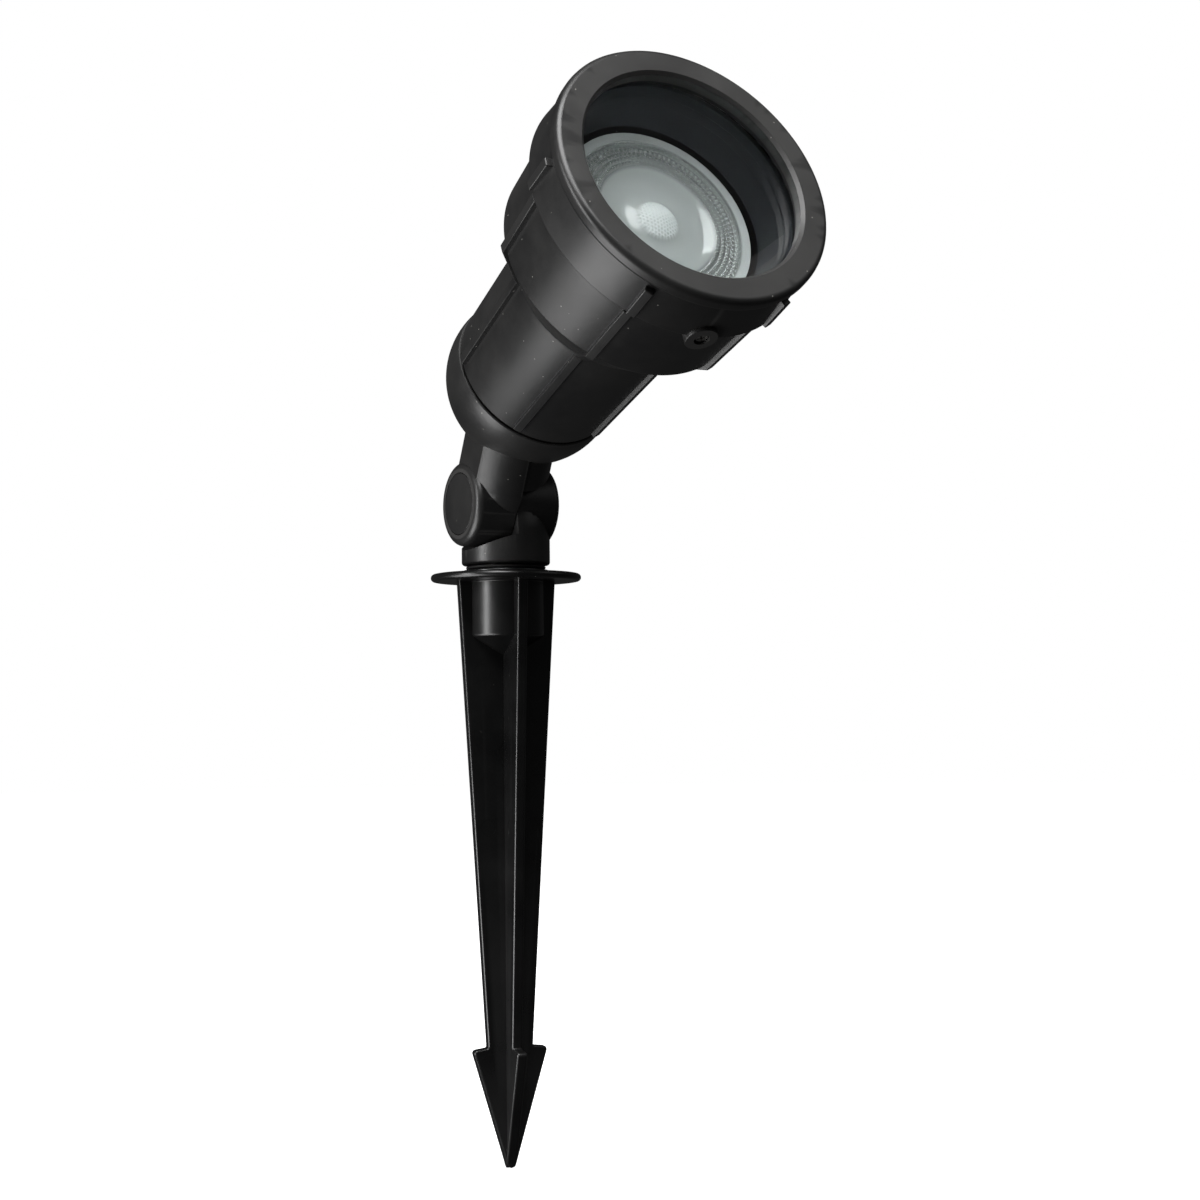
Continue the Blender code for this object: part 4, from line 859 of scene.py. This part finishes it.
def front_cap(looks):
    neck_r = CAP_R - SKIRT_SET_BACK
    cap = turned("cap_moulding", to_head([
        (0.0, 0.0, 0.0), (0.0, CAP_R, RING_ROUND), (RING_T, CAP_R, RING_STEP),
        (RING_T + RING_STEP, neck_r, FINE + EDGE),
        (CAP_LENGTH - SKIRT_LIP, CAP_R - SKIRT_FLARE, 0.0), (CAP_LENGTH, CAP_R, EDGE),
        (CAP_LENGTH, 0.0, 0.0),
    ]), HEAD)
    join(cap, bars("bars", [
        (RING_T + 2 * SKIRT_SET_BACK, CAP_R + CAP_RIB_H),
        (CAP_LENGTH - HALF_GAP, CAP_R + CAP_RIB_H),
    ], CAP_RIB_ANGLES))
    for side in (1, -1):
        join(cap, radial("boss", rounded([
            (0.0, BOSS_FACE_R, 0.0), (BOSS_R, BOSS_FACE_R, BOSS_EDGE), (BOSS_R, GLASS_R, 0.0),
            (0.0, GLASS_R, 0.0),
        ]), side))
    tail = CAP_LENGTH + 2 * BOSS_R
    cut(cap, turned("inside", to_head([
        (-OVERLAP, 0.0, 0.0), (-OVERLAP, OPENING_R + OVERLAP + CHAMFER, 0.0),
        (CHAMFER, OPENING_R, 0.0), (LEDGE_T, OPENING_R, 0.0), (LEDGE_T, GLASS_R + GAP, 0.0),
        (LINER_STATION, GLASS_R + GAP, 0.0), (LINER_STATION, SKIRT_IN_R, 0.0),
        (tail, SKIRT_IN_R, 0.0), (tail, 0.0, 0.0),
    ]), HEAD))
    seat = BOSS_FACE_R - SCREW_SUNK - SCREW_H - GAP
    for side in (1, -1):
        cut(cap, radial("screw_way", [
            (0.0, BOSS_FACE_R + OVERLAP), (SCREW_R + GAP, BOSS_FACE_R + OVERLAP),
            (SCREW_R + GAP, seat), (SCREW_SHANK_R + GAP, seat), (SCREW_SHANK_R + GAP, GLASS_R),
            (0.0, GLASS_R),
        ], side))
    settle(cap, "head", "front_cap", "black_body_plastic", looks)


def cap_screws(looks):
    top = BOSS_FACE_R - SCREW_SUNK
    tip = BODY_MOUTH_R - WALL + GAP
    for name, side in (("cap_screw_upper", 1), ("cap_screw_lower", -1)):
        screw = radial("cross_" + name, rounded([
            (0.0, top, 0.0), (SCREW_R, top - EDGE / 2, EDGE),
            (SCREW_R, top - SCREW_H, FINE / 2), (SCREW_SHANK_R, top - SCREW_H, 0.0),
            (SCREW_SHANK_R, tip, FINE), (0.0, tip, 0.0),
        ]), side)
        place = HEAD @ Matrix.Translation((0, 0, ahead(CAP_LENGTH)))
        place = place @ Matrix.Rotation(-side * math.pi / 2, 4, "X")
        for turn in CROSS_TURNS:
            spot = place @ Matrix.Rotation(math.radians(turn), 4, "Z")
            cut(screw, block("cross", CROSS_L / 2, CROSS_W / 2, top - CROSS_DEPTH,
                             top + OVERLAP, spot))
        settle(screw, "head", name, "steel", looks)


def glass_and_liner(looks):
    gasket = LEDGE_T + GAP
    ring = turned("gasket_ring", to_head([
        (gasket, GLASS_R - GASKET_W, 0.0), (gasket, GLASS_R, FINE),
        (gasket + GASKET_T, GLASS_R, FINE), (gasket + GASKET_T, GLASS_R - GASKET_W, 0.0),
    ]), HEAD)
    settle(ring, "head", "glass_gasket", "seal_rubber", looks)

    end = GLASS_STATION + GLASS_T
    pane = turned("glass_pane", to_head([
        (GLASS_STATION, 0.0, 0.0), (GLASS_STATION, GLASS_R, FULL), (end, GLASS_R, FULL),
        (end, 0.0, 0.0),
    ]), HEAD)
    settle(pane, "head", "glass_cover", "clear_glass", looks)

    rear = LAMP_STATION - 2 * GAP
    liner = turned("liner_cone", to_head([
        (LINER_STATION, GLASS_R - LINER_T, 0.0), (LINER_STATION, GLASS_R, EDGE),
        (LINER_STATION + LINER_T, GLASS_R, EDGE), (rear, LINER_REAR_R + LINER_T, EDGE),
        (rear, LINER_REAR_R, 0.0),
    ]), HEAD)
    settle(liner, "head", "glare_liner", "black_liner", looks)


# ---------------------------------------------------------------- lamp

def face_height(x, y):
    """How far the lens face stands behind (below 0) or ahead of its rim plane."""
    radius = math.hypot(x, y)
    if radius > BAND_OUT:
        return 0.0
    if radius > BAND_IN:
        ring = (radius - BAND_IN) / (BAND_OUT - BAND_IN) * BAND_RINGS
        angle = math.atan2(y, x) + math.floor(ring) * math.pi / BAND_COUNT
        across = math.sin(math.pi * (ring % 1.0))
        along = abs(math.sin(angle * BAND_COUNT / 2))
        return -BUMP_H + BUMP_H * across * along
    if radius > PUPIL_R:
        share = (radius - PUPIL_R) / (BAND_IN - PUPIL_R)
        return -BUMP_H - BOWL_DEPTH * math.sin(math.pi * share) ** 0.8
    k = 4 * math.pi / (math.sqrt(3) * PUPIL_PITCH)
    cells = (math.cos(k * x) + math.cos(k * (x / 2 + y * math.sqrt(3) / 2))
             + math.cos(k * (x / 2 - y * math.sqrt(3) / 2)))
    rise = PUPIL_RISE * math.cos(math.pi / 2 * radius / PUPIL_R)
    return -BUMP_H + rise + PUPIL_H * cells / 3


def lens_radii():
    pupil = [PUPIL_R * (i + 1) / 34 for i in range(34)]
    bowl = [PUPIL_R + (BAND_IN - PUPIL_R) * (i + 1) / 20 for i in range(20)]
    band = [BAND_IN + (BAND_OUT - BAND_IN) * (i + 1) / (7 * BAND_RINGS)
            for i in range(7 * BAND_RINGS)]
    return pupil + bowl + band + [BAND_OUT + EDGE / 2, LAMP_R - EDGE]


def lamp_lens(looks):
    """Clear lens: a grid face with honeycomb, bowl and rings, and a turned back."""
    turns = 6 * BAND_COUNT
    bm = bmesh.new()
    rows = []
    for radius in lens_radii():
        row = []
        for i in range(turns):
            angle = 2 * math.pi * i / turns
            x = radius * math.cos(angle)
            y = radius * math.sin(angle)
            row.append(bm.verts.new((x, y, ahead(LAMP_STATION) + face_height(x, y))))
        rows.append(row)
    back = to_head([
        (LAMP_STATION, LAMP_R - EDGE - 0.01 * MM, 0.0), (LAMP_STATION, LAMP_R, EDGE),
        (LAMP_STATION + LENS_T, LAMP_R, FINE), (LAMP_STATION + LENS_T, LENS_CUP_R, 2 * EDGE),
        (LAMP_STATION + LENS_DEPTH, LENS_TIP_R, 2 * FINE),
        (LAMP_STATION + LENS_DEPTH, 2 * FINE, 0.0),
    ])[1:]
    for radius, z in back:
        rows.append([bm.verts.new((radius * math.cos(2 * math.pi * i / turns),
                                   radius * math.sin(2 * math.pi * i / turns), z))
                     for i in range(turns)])
    for near, far in zip(rows, rows[1:]):
        for i in range(turns):
            j = (i + 1) % turns
            bm.faces.new((near[i], near[j], far[j], far[i]))
    for row, z in ((rows[0], ahead(LAMP_STATION) + face_height(0.0, 0.0)),
                   (rows[-1], back[-1][1])):
        middle = bm.verts.new((0.0, 0.0, z))
        for i in range(turns):
            bm.faces.new((row[i], row[(i + 1) % turns], middle))
    lens = add_mesh("lens_face", bm, HEAD)
    settle(lens, "lamp", "lamp_lens", "clear_lens", looks, 50.0)


def lamp_shell(looks):
    rim = LAMP_STATION + LENS_T + GAP
    tail = LAMP_END - LAMP_BASE_T - GAP
    middle = (rim + tail) / 2
    middle_r = (LAMP_R + LAMP_TAIL_R) / 2
    shell = turned("shell_bowl", to_head([
        (rim, LAMP_R - LAMP_WALL, 0.0), (rim, LAMP_R, EDGE),
        (rim + 3 * LAMP_WALL, LAMP_R - LAMP_WALL / 2, SHELL_ROUND), (middle, middle_r, SHELL_ROUND),
        (tail - 2 * LAMP_WALL, LAMP_TAIL_R, SHELL_ROUND), (tail, LAMP_TAIL_R, EDGE),
        (tail, LAMP_TAIL_R - LAMP_WALL, 0.0),
        (tail - 2 * LAMP_WALL, LAMP_TAIL_R - LAMP_WALL, SHELL_ROUND),
        (middle, middle_r - LAMP_WALL, SHELL_ROUND),
        (rim + 3 * LAMP_WALL, LAMP_R - 2 * LAMP_WALL, 0.0),
    ]), HEAD, COARSE)
    settle(shell, "lamp", "lamp_shell", "white_shell", looks)


# ---------------------------------------------------------------- stage

def floor():
    """Pale paper that glows a little, so that it stays as white as the background."""
    bm = bmesh.new()
    bmesh.ops.create_circle(bm, cap_ends=True, segments=96, radius=FLOOR_R)
    obj = add_mesh("floor", bm, Matrix.Translation((0, 0, TIP_Z)))
    material, tree, shader = new_material("floor_paper")
    mottle = noise(tree, 6.0, 2.0)
    tree.links.new(ramp(tree, mottle, [(0.3, (0.88, 0.88, 0.88)), (0.7, (0.92, 0.92, 0.92))]),
                   shader.inputs["Base Color"])
    shader.inputs["Roughness"].default_value = 0.9
    shader.inputs["Specular IOR Level"].default_value = 0.1
    shader.inputs["Emission Color"].default_value = (1.0, 1.0, 1.0, 1.0)
    shader.inputs["Emission Strength"].default_value = FLOOR_GLOW
    obj.data.materials.append(material)
    obj.visible_glossy = False
    obj.visible_diffuse = False
    obj.visible_shadow = False


def softbox(name, azimuth, elevation, distance, width, height, radiance, aim=LAMP_AIM):
    """A soft light. Azimuth 0 stands at -Y and 90 at +X, as seen from the aim point."""
    a = math.radians(azimuth)
    e = math.radians(elevation)
    place = Vector(aim) + distance * Vector((math.sin(a) * math.cos(e),
                                             -math.cos(a) * math.cos(e), math.sin(e)))
    light = bpy.data.lights.new(name, "AREA")
    light.shape = "RECTANGLE"
    light.size = width
    light.size_y = height
    light.energy = radiance * math.pi * width * height
    obj = bpy.data.objects.new(name, light)
    obj.location = place
    obj.rotation_euler = (Vector(aim) - place).to_track_quat("-Z", "Y").to_euler()
    bpy.context.scene.collection.objects.link(obj)


def lights():
    world = bpy.data.worlds.new("studio")
    bpy.context.scene.world = world
    world.use_nodes = True
    tree = world.node_tree
    background = tree.nodes["Background"]
    path = node(tree, "ShaderNodeLightPath")
    glow = node(tree, "ShaderNodeMapRange")
    glow.inputs["To Min"].default_value = ROOM_LIGHT
    glow.inputs["To Max"].default_value = 1.0
    tree.links.new(path.outputs["Is Camera Ray"], glow.inputs["Value"])
    tree.links.new(glow.outputs["Result"], background.inputs["Strength"])
    background.inputs["Color"].default_value = (1.0, 1.0, 1.0, 1.0)
    softbox("top_left", -30.0, 60.0, 1.2, 0.9, 0.9, 11.5)
    softbox("left_wall", -92.0, 3.0, 0.9, 0.2, 0.7, 13.0)
    softbox("left_below", -104.0, -44.0, 0.32, 0.22, 0.16, 6.0, HEAD_AIM)
    softbox("front_right", 50.0, 32.0, 1.3, 0.8, 0.7, 0.35)
    scene = bpy.context.scene
    scene.view_settings.view_transform = "Standard"


def camera():
    data = bpy.data.cameras.new("camera")
    data.sensor_width = 36.0
    data.lens = CAMERA_LENS
    data.clip_start = 0.01
    obj = bpy.data.objects.new("camera", data)
    obj.location = CAMERA_PLACE
    obj.rotation_euler = [math.radians(a) for a in CAMERA_TURN]
    bpy.context.scene.collection.objects.link(obj)
    bpy.context.scene.camera = obj


def dress_frame(frame, looks):
    """Give every CAD node its slot's procedural material."""
    for part in frame["record"]["subparts"]:
        obj = frame["nodes"][part["node"]]
        obj.data.materials.clear()
        obj.data.materials.append(looks[part["material_slot"]])


def main():
    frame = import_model()
    looks = make_looks()
    dress_frame(frame, looks)
    ground_spike(looks)
    swivel_base(looks)
    rear_dome(looks)
    head_body(looks)
    front_cap(looks)
    cap_screws(looks)
    glass_and_liner(looks)
    lamp_lens(looks)
    lamp_shell(looks)
    floor()
    lights()
    camera()


main()
